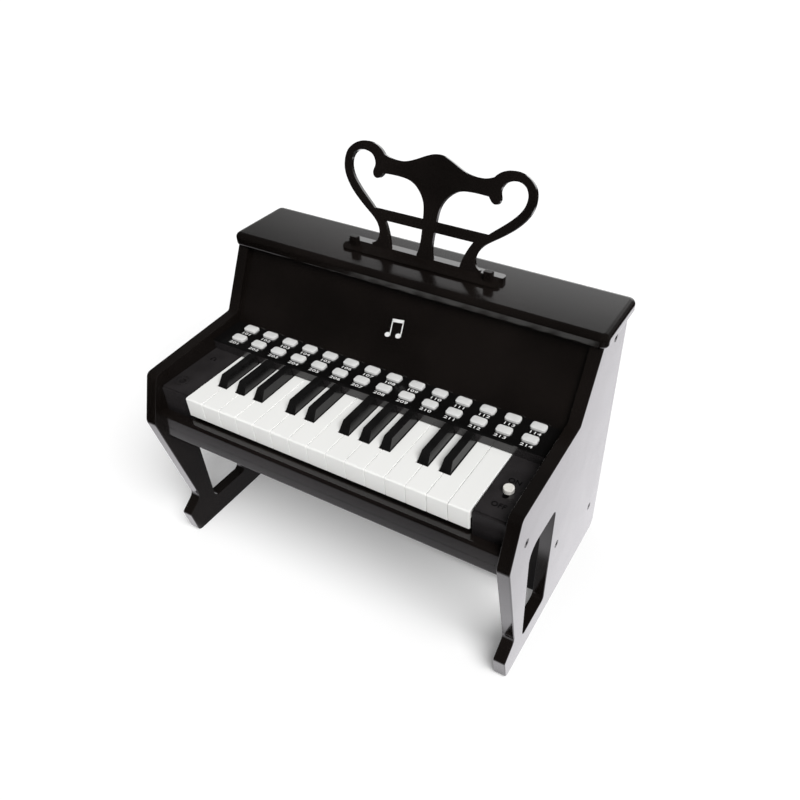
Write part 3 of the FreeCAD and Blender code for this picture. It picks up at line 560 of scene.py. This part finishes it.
def circuit_finish():
    """Green solder mask with a regular net of slightly raised tracks."""
    made = Finish("circuit board")
    net = made.node("TexBrick")
    net.inputs["Scale"].default_value = 160.0
    net.inputs["Mortar Size"].default_value = 0.05
    net.inputs["Color1"].default_value = (0.012, 0.10, 0.035, 1.0)
    net.inputs["Color2"].default_value = (0.014, 0.115, 0.04, 1.0)
    net.inputs["Mortar"].default_value = (0.03, 0.21, 0.08, 1.0)
    made.join(made.place, net.inputs["Vector"])
    made.colour(net.outputs["Color"])
    made.roughness(made.between(made.noise(300.0, 3.0), 0.25, 0.38))
    made.relief((net.outputs["Fac"], 0.2, 0.0001))
    return made.material


def speaker_finish():
    """Pressed black paper and painted steel, with fine rings about the speaker's axis."""
    low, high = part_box("speaker")
    middle = (low + high) / 2
    made = Finish("speaker black")
    rings = made.node("TexWave", wave_type="RINGS", rings_direction="Y")
    rings.inputs["Scale"].default_value = 110.0
    rings.inputs["Distortion"].default_value = 0.3
    made.join(made.moved(shift=-middle), rings.inputs["Vector"])
    paper = (0.014, 0.014, 0.014)
    ridge = (0.03, 0.029, 0.028)
    made.colour(made.mixed(rings.outputs["Fac"], paper, ridge))
    made.roughness(made.between(made.noise(600.0, 3.0), 0.55, 0.75))
    made.relief((rings.outputs["Fac"], 0.25, 0.0003), (made.noise(1500.0), 0.2, 0.0001))
    return made.material


def dress(nodes, material):
    """Give frame nodes a finish."""
    for name in nodes:
        for slot in frame["nodes"][name].material_slots:
            slot.material = material


# Mesh building

def new_piece(name, mesh, body, material=None):
    """A finished piece at the origin that rides on a body."""
    piece = bpy.data.objects.new(name, mesh)
    bpy.context.scene.collection.objects.link(piece)
    if material:
        mesh.materials.clear()
        mesh.materials.append(material)
    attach(piece, body)
    return piece


def finished_mesh(bm, name, smooth_angle=math.radians(35)):
    """Merge doubles, face outwards, shade smooth up to an angle, and make the mesh."""
    bmesh.ops.remove_doubles(bm, verts=bm.verts, dist=1e-7)
    bmesh.ops.recalc_face_normals(bm, faces=bm.faces)
    mesh = bpy.data.meshes.new(name)
    bm.to_mesh(mesh)
    bm.free()
    mesh.shade_smooth()
    mesh.set_sharp_from_angle(angle=smooth_angle)
    return mesh


def loft(bm, rings):
    """Skin between closed rings of equal count; the first and last are closed by a face."""
    rows = [[bm.verts.new(point) for point in ring] for ring in rings]
    count = len(rows[0])
    for lower, upper in zip(rows, rows[1:]):
        for i in range(count):
            j = (i + 1) % count
            bm.faces.new((lower[i], lower[j], upper[j], upper[i]))
    bm.faces.new(list(reversed(rows[0])))
    bm.faces.new(rows[-1])


def rounded_outline(width, depth, radius, height, steps=7):
    """Points round a rectangle with round corners at one height."""
    points = []
    for turn, (sx, sy) in enumerate(((1, 1), (-1, 1), (-1, -1), (1, -1))):
        middle = Vector((sx * (width / 2 - radius), sy * (depth / 2 - radius), height))
        for i in range(steps + 1):
            angle = math.radians(90) * (turn + i / steps)
            points.append(middle + Vector((math.cos(angle), math.sin(angle), 0)) * radius)
    return points


def prism(bm, outline, thickness, matrix):
    """A flat outline made solid along its own third axis, then placed."""
    low = [bm.verts.new(matrix @ Vector((x, y, 0))) for x, y in outline]
    high = [bm.verts.new(matrix @ Vector((x, y, thickness))) for x, y in outline]
    count = len(outline)
    for i in range(count):
        j = (i + 1) % count
        bm.faces.new((low[i], low[j], high[j], high[i]))
    bm.faces.new(list(reversed(low)))
    bm.faces.new(high)


def add_text(bm, words, height, thickness, matrix):
    """Plain lettering, centred on its place and made solid."""
    capital_share = 0.72
    bolder_share = 0.012
    letter_spacing = 1.08
    curve = bpy.data.curves.new("lettering", "FONT")
    curve.body = words
    curve.size = height / capital_share
    curve.align_x = "CENTER"
    curve.align_y = "CENTER"
    curve.extrude = thickness / 2
    curve.offset = height * bolder_share
    curve.space_character = letter_spacing
    holder = bpy.data.objects.new("lettering", curve)
    mesh = bpy.data.meshes.new_from_object(holder)
    mesh.transform(matrix @ Matrix.Translation((0, 0, thickness / 2)))
    bm.from_mesh(mesh)
    bpy.data.meshes.remove(mesh)
    bpy.data.objects.remove(holder)
    bpy.data.curves.remove(curve)


# Geometry node trees

def empty_tree(name, sockets):
    """A geometry node tree with a geometry input, named inputs and a geometry output."""
    tree = bpy.data.node_groups.new(name, "GeometryNodeTree")
    tree.interface.new_socket("Geometry", in_out="INPUT", socket_type="NodeSocketGeometry")
    for socket, kind in sockets:
        tree.interface.new_socket(socket, in_out="INPUT", socket_type="NodeSocket" + kind)
    tree.interface.new_socket("Geometry", in_out="OUTPUT", socket_type="NodeSocketGeometry")
    return tree, tree.nodes.new("NodeGroupInput"), tree.nodes.new("NodeGroupOutput")


def close_tree(tree, geometry, given, out):
    """End a tree in real geometry with its finish set."""
    real = tree.nodes.new("GeometryNodeRealizeInstances")
    painted = tree.nodes.new("GeometryNodeSetMaterial")
    tree.links.new(geometry, real.inputs["Geometry"])
    tree.links.new(real.outputs["Geometry"], painted.inputs["Geometry"])
    tree.links.new(given.outputs["Finish"], painted.inputs["Material"])
    tree.links.new(painted.outputs["Geometry"], out.inputs["Geometry"])


def row_tree():
    """Copies of a shape in a straight row from a first place."""
    tree, given, out = empty_tree(
        "Row of Shapes",
        (("First Place", "Vector"), ("Step", "Vector"), ("Count", "Int"), ("Finish", "Material")))
    line = tree.nodes.new("GeometryNodeMeshLine")
    line.mode = "OFFSET"
    copies = tree.nodes.new("GeometryNodeInstanceOnPoints")
    tree.links.new(given.outputs["Count"], line.inputs["Count"])
    tree.links.new(given.outputs["First Place"], line.inputs["Start Location"])
    tree.links.new(given.outputs["Step"], line.inputs["Offset"])
    tree.links.new(line.outputs["Mesh"], copies.inputs["Points"])
    tree.links.new(given.outputs["Geometry"], copies.inputs["Instance"])
    close_tree(tree, copies.outputs["Instances"], given, out)
    return tree


def screw_tree():
    """A screw on every point, its head towards the outside of the case."""
    tree, given, out = empty_tree(
        "Screws on Points", (("Screw", "Object"), ("Turn Left", "Rotation"), ("Turn Right", "Rotation"),
                             ("Finish", "Material")))
    shape = tree.nodes.new("GeometryNodeObjectInfo")
    where = tree.nodes.new("GeometryNodeInputPosition")
    split = tree.nodes.new("ShaderNodeSeparateXYZ")
    right = tree.nodes.new("FunctionNodeCompare")
    right.operation = "GREATER_THAN"
    turn = tree.nodes.new("GeometryNodeSwitch")
    turn.input_type = "ROTATION"
    copies = tree.nodes.new("GeometryNodeInstanceOnPoints")
    tree.links.new(given.outputs["Screw"], shape.inputs["Object"])
    tree.links.new(where.outputs["Position"], split.inputs["Vector"])
    tree.links.new(split.outputs["X"], right.inputs[0])
    tree.links.new(right.outputs["Result"], turn.inputs["Switch"])
    tree.links.new(given.outputs["Turn Left"], turn.inputs["False"])
    tree.links.new(given.outputs["Turn Right"], turn.inputs["True"])
    tree.links.new(given.outputs["Geometry"], copies.inputs["Points"])
    tree.links.new(shape.outputs["Geometry"], copies.inputs["Instance"])
    tree.links.new(turn.outputs["Output"], copies.inputs["Rotation"])
    close_tree(tree, copies.outputs["Instances"], given, out)
    return tree


def grown(tree, mesh, name, **inputs):
    """The plain mesh that a tree makes of a mesh with these inputs."""
    holder = bpy.data.objects.new(name, mesh)
    bpy.context.scene.collection.objects.link(holder)
    modifier = holder.modifiers.new("shape", "NODES")
    modifier.node_group = tree
    for item in tree.interface.items_tree:
        key = item.name.replace(" ", "_")
        if item.in_out == "INPUT" and key in inputs:
            modifier[item.identifier] = inputs[key]
    graph = bpy.context.evaluated_depsgraph_get()
    result = bpy.data.meshes.new_from_object(holder.evaluated_get(graph))
    result.name = name
    holder.modifiers.remove(modifier)
    bpy.data.objects.remove(holder)
    return result


# Pieces

def button_mesh():
    """One push button about the origin of the panel's top face: crowned cap, flange and stem."""
    sizes = settings().sizes
    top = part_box(BUTTON_PAIRS[0])[1].z - PANEL_TOP
    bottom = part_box(BUTTON_PAIRS[0])[0].z - PANEL_TOP
    shoulder = top - sizes.button_crown
    flange_gap = 0.0003
    flange_top = -COVER_WALL - flange_gap
    flange_low = flange_top - sizes.flange_thickness
    rings = []

    def ring(inset, height):
        width = sizes.button_width - 2 * inset
        depth = sizes.button_depth - 2 * inset
        rings.append(rounded_outline(width, depth, sizes.button_corner - inset, height))

    ring(-sizes.button_flange, flange_low)
    ring(-sizes.button_flange, flange_top)
    ring(0.0, flange_top)
    edge = sizes.button_edge
    steps = 6
    for i in range(steps + 1):
        angle = math.radians(90) * i / steps
        ring(edge * (1 - math.cos(angle)), shoulder - edge * (1 - math.sin(angle)))
    rim = rings[-1]
    rounds = 6
    for i in range(1, rounds):
        share = 1 - i / rounds
        height = shoulder + sizes.button_crown * (1 - share ** 2)
        rings.append([Vector((point.x * share, point.y * share, height)) for point in rim])
    bm = bmesh.new()
    loft(bm, rings)
    stem = [
        [Vector((math.cos(a) * sizes.stem_radius, math.sin(a) * sizes.stem_radius, height))
         for a in (math.radians(15) * i for i in range(24))]
        for height in (bottom, flange_low)
    ]
    loft(bm, stem)
    return finished_mesh(bm, "button")


def make_buttons():
    """The button pairs, each a row of two on its own body."""
    sizes = settings().sizes
    tree = row_tree()
    shape = button_mesh()
    finish = button_finish()
    reach = sizes.button_depth / 2 + sizes.button_flange
    for name in BUTTON_PAIRS:
        low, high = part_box(name)
        first = Vector(((low.x + high.x) / 2, low.y + reach, PANEL_TOP))
        step = Vector((0, high.y - low.y - 2 * reach, 0))
        mesh = grown(tree, shape, name + "_caps", First_Place=first, Step=step, Count=2, Finish=finish)
        piece = new_piece(name + "_caps", mesh, name)
        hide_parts(name)


def screw_mesh(length):
    """A flat-headed screw along -Z from its head, with a hexagon socket."""
    sizes = settings().sizes
    count = 48
    head = sizes.screw_head
    chamfer = 0.0004
    head_depth = 0.0026
    socket_depth = 0.0018
    socket_lip = 0.0002
    socket_cone = 0.0003
    taper = 0.0040
    tip_share = 0.25
    cone_share = 0.2

    def circle(radius, height):
        turns = (2 * math.pi * i / count for i in range(count))
        return [Vector((math.cos(a) * radius, math.sin(a) * radius, height)) for a in turns]

    def hexagon(half, height):
        points = []
        for i in range(count):
            angle = 2 * math.pi * i / count
            radius = half / math.cos((angle % math.radians(60)) - math.radians(30))
            points.append(Vector((math.cos(angle) * radius, math.sin(angle) * radius, height)))
        return points

    rings = [
        circle(sizes.screw_shank * tip_share, -length),
        circle(sizes.screw_shank, -length + taper),
        circle(sizes.screw_shank, -head_depth),
        circle(head, -head_depth),
        circle(head, -chamfer),
        circle(head - chamfer, 0),
        hexagon(sizes.screw_socket + socket_lip, 0),
        hexagon(sizes.screw_socket, -socket_lip),
        hexagon(sizes.screw_socket, -socket_depth),
        hexagon(sizes.screw_socket * cone_share, -socket_depth - socket_cone),
    ]
    bm = bmesh.new()
    loft(bm, rings)
    return finished_mesh(bm, "case screw")


def screw_places():
    """The middle of each screw's head, read from the frame's screws."""
    bm = bmesh.new()
    bm.from_mesh(frame["nodes"]["case_screws"].data)
    bmesh.ops.remove_doubles(bm, verts=bm.verts, dist=1e-6)
    left = set(bm.verts)
    places = []
    length = 0.0
    while left:
        stack = [left.pop()]
        group = []
        while stack:
            vert = stack.pop()
            group.append(vert.co.copy())
            for edge in vert.link_edges:
                other = edge.other_vert(vert)
                if other in left:
                    left.remove(other)
                    stack.append(other)
        low = Vector(min(p[i] for p in group) for i in range(3))
        high = Vector(max(p[i] for p in group) for i in range(3))
        length = high.x - low.x
        outer = high.x if high.x > 0 else low.x
        places.append(Vector((outer, (low.y + high.y) / 2, (low.z + high.z) / 2)))
    bm.free()
    return sorted(places, key=tuple), length


def make_screws():
    """The case screws with hexagon sockets."""
    places, length = screw_places()
    points = bpy.data.meshes.new("screw places")
    points.from_pydata(places, [], [])
    shape = bpy.data.objects.new("screw shape", screw_mesh(length))
    quarter = math.radians(90)
    mesh = grown(
        screw_tree(), points, "case_screw_set", Screw=shape, Turn_Left=(0, -quarter, 0),
        Turn_Right=(0, quarter, 0), Finish=screw_finish())
    bpy.data.objects.remove(shape)
    piece = new_piece("case_screw_set", mesh, CASE)
    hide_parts("case_screws")


def make_numbers():
    """Plain numbers printed in front of the buttons, from 101 in the upper row and 201 in the lower."""
    sizes = settings().sizes
    reach = sizes.button_depth / 2 + sizes.button_flange
    bm = bmesh.new()
    for first, upper in ((101, True), (201, False)):
        for column, name in enumerate(BUTTON_PAIRS):
            low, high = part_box(name)
            row = high.y - reach if upper else low.y + reach
            below = sizes.number_gap + sizes.number_height / 2
            spot = Vector(((low.x + high.x) / 2, row - below, PANEL_TOP))
            matrix = Matrix.Translation(spot) @ Matrix.Diagonal((sizes.number_stretch, 1, 1, 1))
            add_text(bm, str(first + column), sizes.number_height, sizes.ink_rise, matrix)
    mesh = finished_mesh(bm, "button_numbers")
    new_piece("button_numbers", mesh, CASE, ink_finish())


def make_switch_words():
    """Raised words at the ends of the power switch's slot, and a raised sign behind the socket."""
    sizes = settings().sizes
    low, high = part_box("power_switch_knob")
    joint = next(j for j in frame["joints"] if j["child"] == "power_switch_knob")
    middle = (low + high) / 2 + Vector(joint["axis"]) * joint["range_m"][1] / 2
    bm = bmesh.new()
    for words, side in (("ON", 1), ("OFF", -1)):
        spot = Matrix.Translation((middle.x, middle.y + side * sizes.word_gap, KEY_TOP))
        add_text(bm, words, sizes.word_height, sizes.word_rise, spot)
    add_earphone_sign(bm, Matrix.Translation((*sizes.sign_place, KEY_TOP)), sizes.word_rise)
    mesh = finished_mesh(bm, "switch_words")
    new_piece("switch_words", mesh, CASE, raised_word_finish())


def add_earphone_sign(bm, matrix, rise):
    """A small pair of earphones: a band and two pads."""
    outer = 0.0026
    inner = 0.0020
    turns = [math.radians(15) * i for i in range(13)]
    band = [(math.cos(a) * outer, math.sin(a) * outer) for a in turns]
    band += [(math.cos(a) * inner, math.sin(a) * inner) for a in reversed(turns)]
    prism(bm, band, rise, matrix)
    pad_width = 0.0012
    pad_height = 0.0022
    pad_corner = 0.0004
    pad_drop = 0.0012
    pad = [(p.x, p.y) for p in rounded_outline(pad_width, pad_height, pad_corner, 0.0, 3)]
    for side in (-1, 1):
        shift = Matrix.Translation((side * (outer + inner) / 2, -pad_drop, 0))
        prism(bm, pad, rise, matrix @ shift)


def front_panel_face():
    """A point on the upper front panel's face and the way that the face looks."""
    mesh = frame["nodes"]["upper_front_panel"].data
    face = max((p for p in mesh.polygons if p.normal.y < -0.5), key=lambda p: p.area)
    return face.center.copy(), face.normal.copy()


def make_front_notes():
    """A printed pair of beamed notes on the upper front panel."""
    sizes = settings().sizes
    point, out = front_panel_face()
    across = Vector((1, 0, 0))
    face_y = point.y - out.z * (sizes.notes_up - point.z) / out.y
    spot = Vector((sizes.notes_across, face_y, sizes.notes_up))
    matrix = Matrix((across, out.cross(across), out)).transposed().to_4x4()
    matrix = Matrix.Translation(spot) @ matrix
    head_turn = Matrix.Rotation(math.radians(22), 2)
    head_points = 28
    bm = bmesh.new()

    def print_shape(outline):
        """Ink in an outline whose unit is the pair's height."""
        unit = sizes.notes_height
        prism(bm, [(u * unit, v * unit) for u, v in outline], sizes.ink_rise, matrix)

    apart = 0.30
    head_wide = 0.165
    head_high = 0.115
    stem_place = 0.155
    stem_width = 0.055
    stem_length = 0.78
    for x, drop in ((-apart, -0.40), (apart, -0.32)):
        head = []
        for i in range(head_points):
            angle = 2 * math.pi * i / head_points
            point = Vector((math.cos(angle) * head_wide, math.sin(angle) * head_high))
            point.rotate(head_turn)
            head.append((x + point.x, drop + point.y))
        print_shape(head)
        right = x + stem_place
        left = right - stem_width
        top = drop + stem_length
        print_shape(((left, drop), (right, drop), (right, top), (left, top)))
    start = stem_place - stem_width - apart
    end = apart + stem_place
    print_shape(((start, 0.26), (end, 0.34), (end, 0.50), (start, 0.42)))
    new_piece("front_notes", finished_mesh(bm, "front_notes"), CASE, ink_finish())


# Stage

def make_floor():
    """A large white floor that keeps the piano's soft shadow."""
    studio = settings().studio
    half = 6.0
    drop = 0.0002
    grey = (0.84, 0.84, 0.84)
    pale_grey = (0.86, 0.86, 0.86)
    mirror_tint = (0.985, 0.965, 1.0)
    mesh = bpy.data.meshes.new("studio_floor")
    corners = ((-half, -half, -drop), (half, -half, -drop), (half, half, -drop), (-half, half, -drop))
    mesh.from_pydata(corners, [], [(0, 1, 2, 3)])
    floor = bpy.data.objects.new("studio_floor", mesh)
    bpy.context.scene.collection.objects.link(floor)
    made = Finish("white studio floor")
    drift = made.between(made.noise(3.0, 2.0), 0.0, 1.0)
    made.colour(made.mixed(drift, grey, pale_grey))
    made.roughness(0.9)
    made.set(Specular_IOR_Level=0.0)
    glow = made.light("Emission", (1.0, 1.0, 1.0), made.product(made.seen(), studio.floor_glow))
    lit = made.node("AddShader")
    made.join(made.shader.outputs["BSDF"], lit.inputs[0])
    made.join(glow, lit.inputs[1])
    # In glossy faces the floor glows with a painted image of itself, with a painted shade under the piano
    image = made.light("Emission", mirror_tint, floor_image(made))
    surface = made.blend(made.mirrored(), lit.outputs["Shader"], image)
    made.join(surface, made.tree.nodes["Material Output"].inputs["Surface"])
    mesh.materials.append(made.material)


def floor_image(made):
    """Painted brightness of the floor in glossy faces: white beside and before the piano, a painted shade
    under it, dark further off.
    """
    studio = settings().studio
    low, high = cad_bounds
    soft_edge = 0.020
    front_reach = 0.160
    back_reach = (0.420, 0.600)
    side_reach = (0.200, 0.350)
    place = made.axes(made.place)
    across = made.math("ABSOLUTE", place["X"])
    deep = place["Y"]
    beside = made.between(across, 0.0, 1.0, high.x - soft_edge, high.x)
    before = made.between(deep, 1.0, 0.0, low.y - 0.005, low.y + soft_edge)
    free = made.math("MAXIMUM", beside, before)
    front_fade = made.between(deep, 0.0, 1.0, low.y - front_reach, low.y)
    back_fade = made.between(deep, 1.0, 0.0, high.y + back_reach[0], high.y + back_reach[1])
    side_fade = made.between(across, 1.0, 0.0, high.x + side_reach[0], high.x + side_reach[1])
    # Painted shade under the piano, painted white beside and before it
    bright = made.between(free, studio.mirror_shade, studio.mirror_floor, 0.0, 1.0)
    return made.product(made.product(bright, front_fade), made.product(back_fade, side_fade))


def make_world():
    """White for the camera, an even room light, and a grey wall behind the piano in glossy faces."""
    white = (1.0, 1.0, 1.0)
    world = bpy.data.worlds.new("white studio")
    bpy.context.scene.world = world
    world.use_nodes = True
    world.node_tree.nodes.clear()
    made = ShaderTree(world.node_tree)
    room = made.light("Background", white, settings().studio.room_light)
    wall = made.light("Background", white, wall_image(made))
    unseen = made.blend(made.mirrored(), room, wall)
    surface = made.blend(made.seen(), unseen, made.light("Background", white, 1.0))
    made.join(surface, made.node("OutputWorld").inputs["Surface"])


def wall_image(made):
    """Brightness of the wall behind in glossy faces: pale low down in the middle, dim above and aside."""
    dimmest = 0.02
    way = made.axes(made.node("TexCoord").outputs["Generated"])
    rise = made.math("DIVIDE", way["Z"], way["Y"])
    swing = made.math("DIVIDE", way["X"], way["Y"])
    behind = made.between(way["Y"], 0.0, 1.0, 0.1, 0.3)
    low_part = made.between(rise, settings().studio.mirror_wall, 0.03, 0.45, 0.75)
    left_part = made.between(swing, 0.3, 1.0, -1.2, -0.25)
    right_part = made.between(swing, 1.0, 0.05, 0.1, 0.5)
    wall = made.product(made.product(behind, low_part), made.product(left_part, right_part))
    return made.math("ADD", wall, dimmest)


def make_light():
    """One broad even light from above on the right, left out of mirror images."""
    studio = settings().studio
    lamp = bpy.data.lights.new("overhead light", "SUN")
    lamp.energy = studio.key_light
    lamp.angle = studio.key_spread
    holder = bpy.data.objects.new("overhead light", lamp)
    holder.rotation_euler = studio.key_turn
    holder.visible_glossy = False
    bpy.context.scene.collection.objects.link(holder)


def make_camera():
    studio = settings().studio
    camera = bpy.data.cameras.new("photograph camera")
    camera.sensor_width = 36.0
    camera.lens = studio.camera_lens
    camera.shift_x = studio.camera_shift[0]
    camera.shift_y = studio.camera_shift[1]
    camera.clip_start = 0.01
    holder = bpy.data.objects.new("photograph camera", camera)
    holder.location = studio.camera_place
    holder.rotation_euler = studio.camera_turn
    bpy.context.scene.collection.objects.link(holder)
    bpy.context.scene.camera = holder


# Operators

class TOYPIANO_OT_case(bpy.types.Operator):
    """Lacquer the wooden boards, the music stand and its ledge"""

    bl_idname = "toy_piano.case"
    bl_label = "Lacquer the case"

    def execute(self, context):
        dress(LACQUERED, lacquer_finish())
        dress(("knee_panel",), matt_paint_finish())
        return {"FINISHED"}


class TOYPIANO_OT_keys(bpy.types.Operator):
    """Finish the white and black keys"""

    bl_idname = "toy_piano.keys"
    bl_label = "Finish the keys"

    def execute(self, context):
        dress(WHITE_KEYS, white_key_finish())
        dress(BLACK_KEYS, black_key_finish())
        return {"FINISHED"}


class TOYPIANO_OT_module(bpy.types.Operator):
    """Finish the keyboard moulding, its inner parts and the switch knob"""

    bl_idname = "toy_piano.module"
    bl_label = "Finish the keyboard module"

    def execute(self, context):
        dress(("keyboard_cover",), moulding_finish())
        dress(("keyboard_tray",), plain_moulding_finish())
        dress(("key_pivot_rod",), steel_finish())
        dress(("key_contact_strip",), rubber_finish())
        dress(("main_circuit_board",), circuit_finish())
        dress(("power_switch_knob",), knob_finish())
        return {"FINISHED"}


class TOYPIANO_OT_buttons(bpy.types.Operator):
    """Make the crowned push buttons"""

    bl_idname = "toy_piano.buttons"
    bl_label = "Make the buttons"

    def execute(self, context):
        make_buttons()
        return {"FINISHED"}


class TOYPIANO_OT_marks(bpy.types.Operator):
    """Print the numbers and the notes, and raise the switch words"""

    bl_idname = "toy_piano.marks"
    bl_label = "Make the marks"

    def execute(self, context):
        make_numbers()
        make_switch_words()
        make_front_notes()
        return {"FINISHED"}


class TOYPIANO_OT_screws(bpy.types.Operator):
    """Make the case screws"""

    bl_idname = "toy_piano.screws"
    bl_label = "Make the screws"

    def execute(self, context):
        make_screws()
        return {"FINISHED"}


class TOYPIANO_OT_back(bpy.types.Operator):
    """Finish the speaker, the battery box and its door"""

    bl_idname = "toy_piano.back"
    bl_label = "Finish the back"

    def execute(self, context):
        dress(("speaker",), speaker_finish())
        dress(("battery_box", "battery_door"), plain_moulding_finish())
        return {"FINISHED"}


class TOYPIANO_OT_stage(bpy.types.Operator):
    """Set up the floor, the lights, the world and the camera"""

    bl_idname = "toy_piano.stage"
    bl_label = "Set up the studio"

    def execute(self, context):
        context.scene.view_settings.view_transform = "Standard"
        make_floor()
        make_world()
        make_light()
        make_camera()
        return {"FINISHED"}


STEPS = (
    TOYPIANO_OT_case, TOYPIANO_OT_keys, TOYPIANO_OT_module, TOYPIANO_OT_buttons, TOYPIANO_OT_marks,
    TOYPIANO_OT_screws, TOYPIANO_OT_back, TOYPIANO_OT_stage,
)


class TOYPIANO_PT_panel(bpy.types.Panel):
    """Lists the steps that dress the toy piano."""

    bl_idname = "TOYPIANO_PT_panel"
    bl_label = "Toy Piano"
    bl_space_type = "VIEW_3D"
    bl_region_type = "UI"
    bl_category = "Toy Piano"

    def draw(self, context):
        for step in STEPS:
            self.layout.operator(step.bl_idname)
        for group in (settings().colours, settings().sizes, settings().studio):
            box = self.layout.box()
            for name in group.__annotations__:
                box.prop(group, name)


CLASSES = (
    ToyPianoColours, ToyPianoSizes, ToyPianoStudio, ToyPianoSettings, *STEPS, TOYPIANO_PT_panel,
)


def register():
    for made in CLASSES:
        bpy.utils.register_class(made)
    bpy.types.Scene.toy_piano = PointerProperty(type=ToyPianoSettings)


def unregister():
    del bpy.types.Scene.toy_piano
    for made in reversed(CLASSES):
        bpy.utils.unregister_class(made)


def main():
    """Dress the piano step by step."""
    register()
    bpy.ops.toy_piano.case()
    bpy.ops.toy_piano.keys()
    bpy.ops.toy_piano.module()
    bpy.ops.toy_piano.buttons()
    bpy.ops.toy_piano.marks()
    bpy.ops.toy_piano.screws()
    bpy.ops.toy_piano.back()
    bpy.ops.toy_piano.stage()


if __name__ == "__main__":
    main()
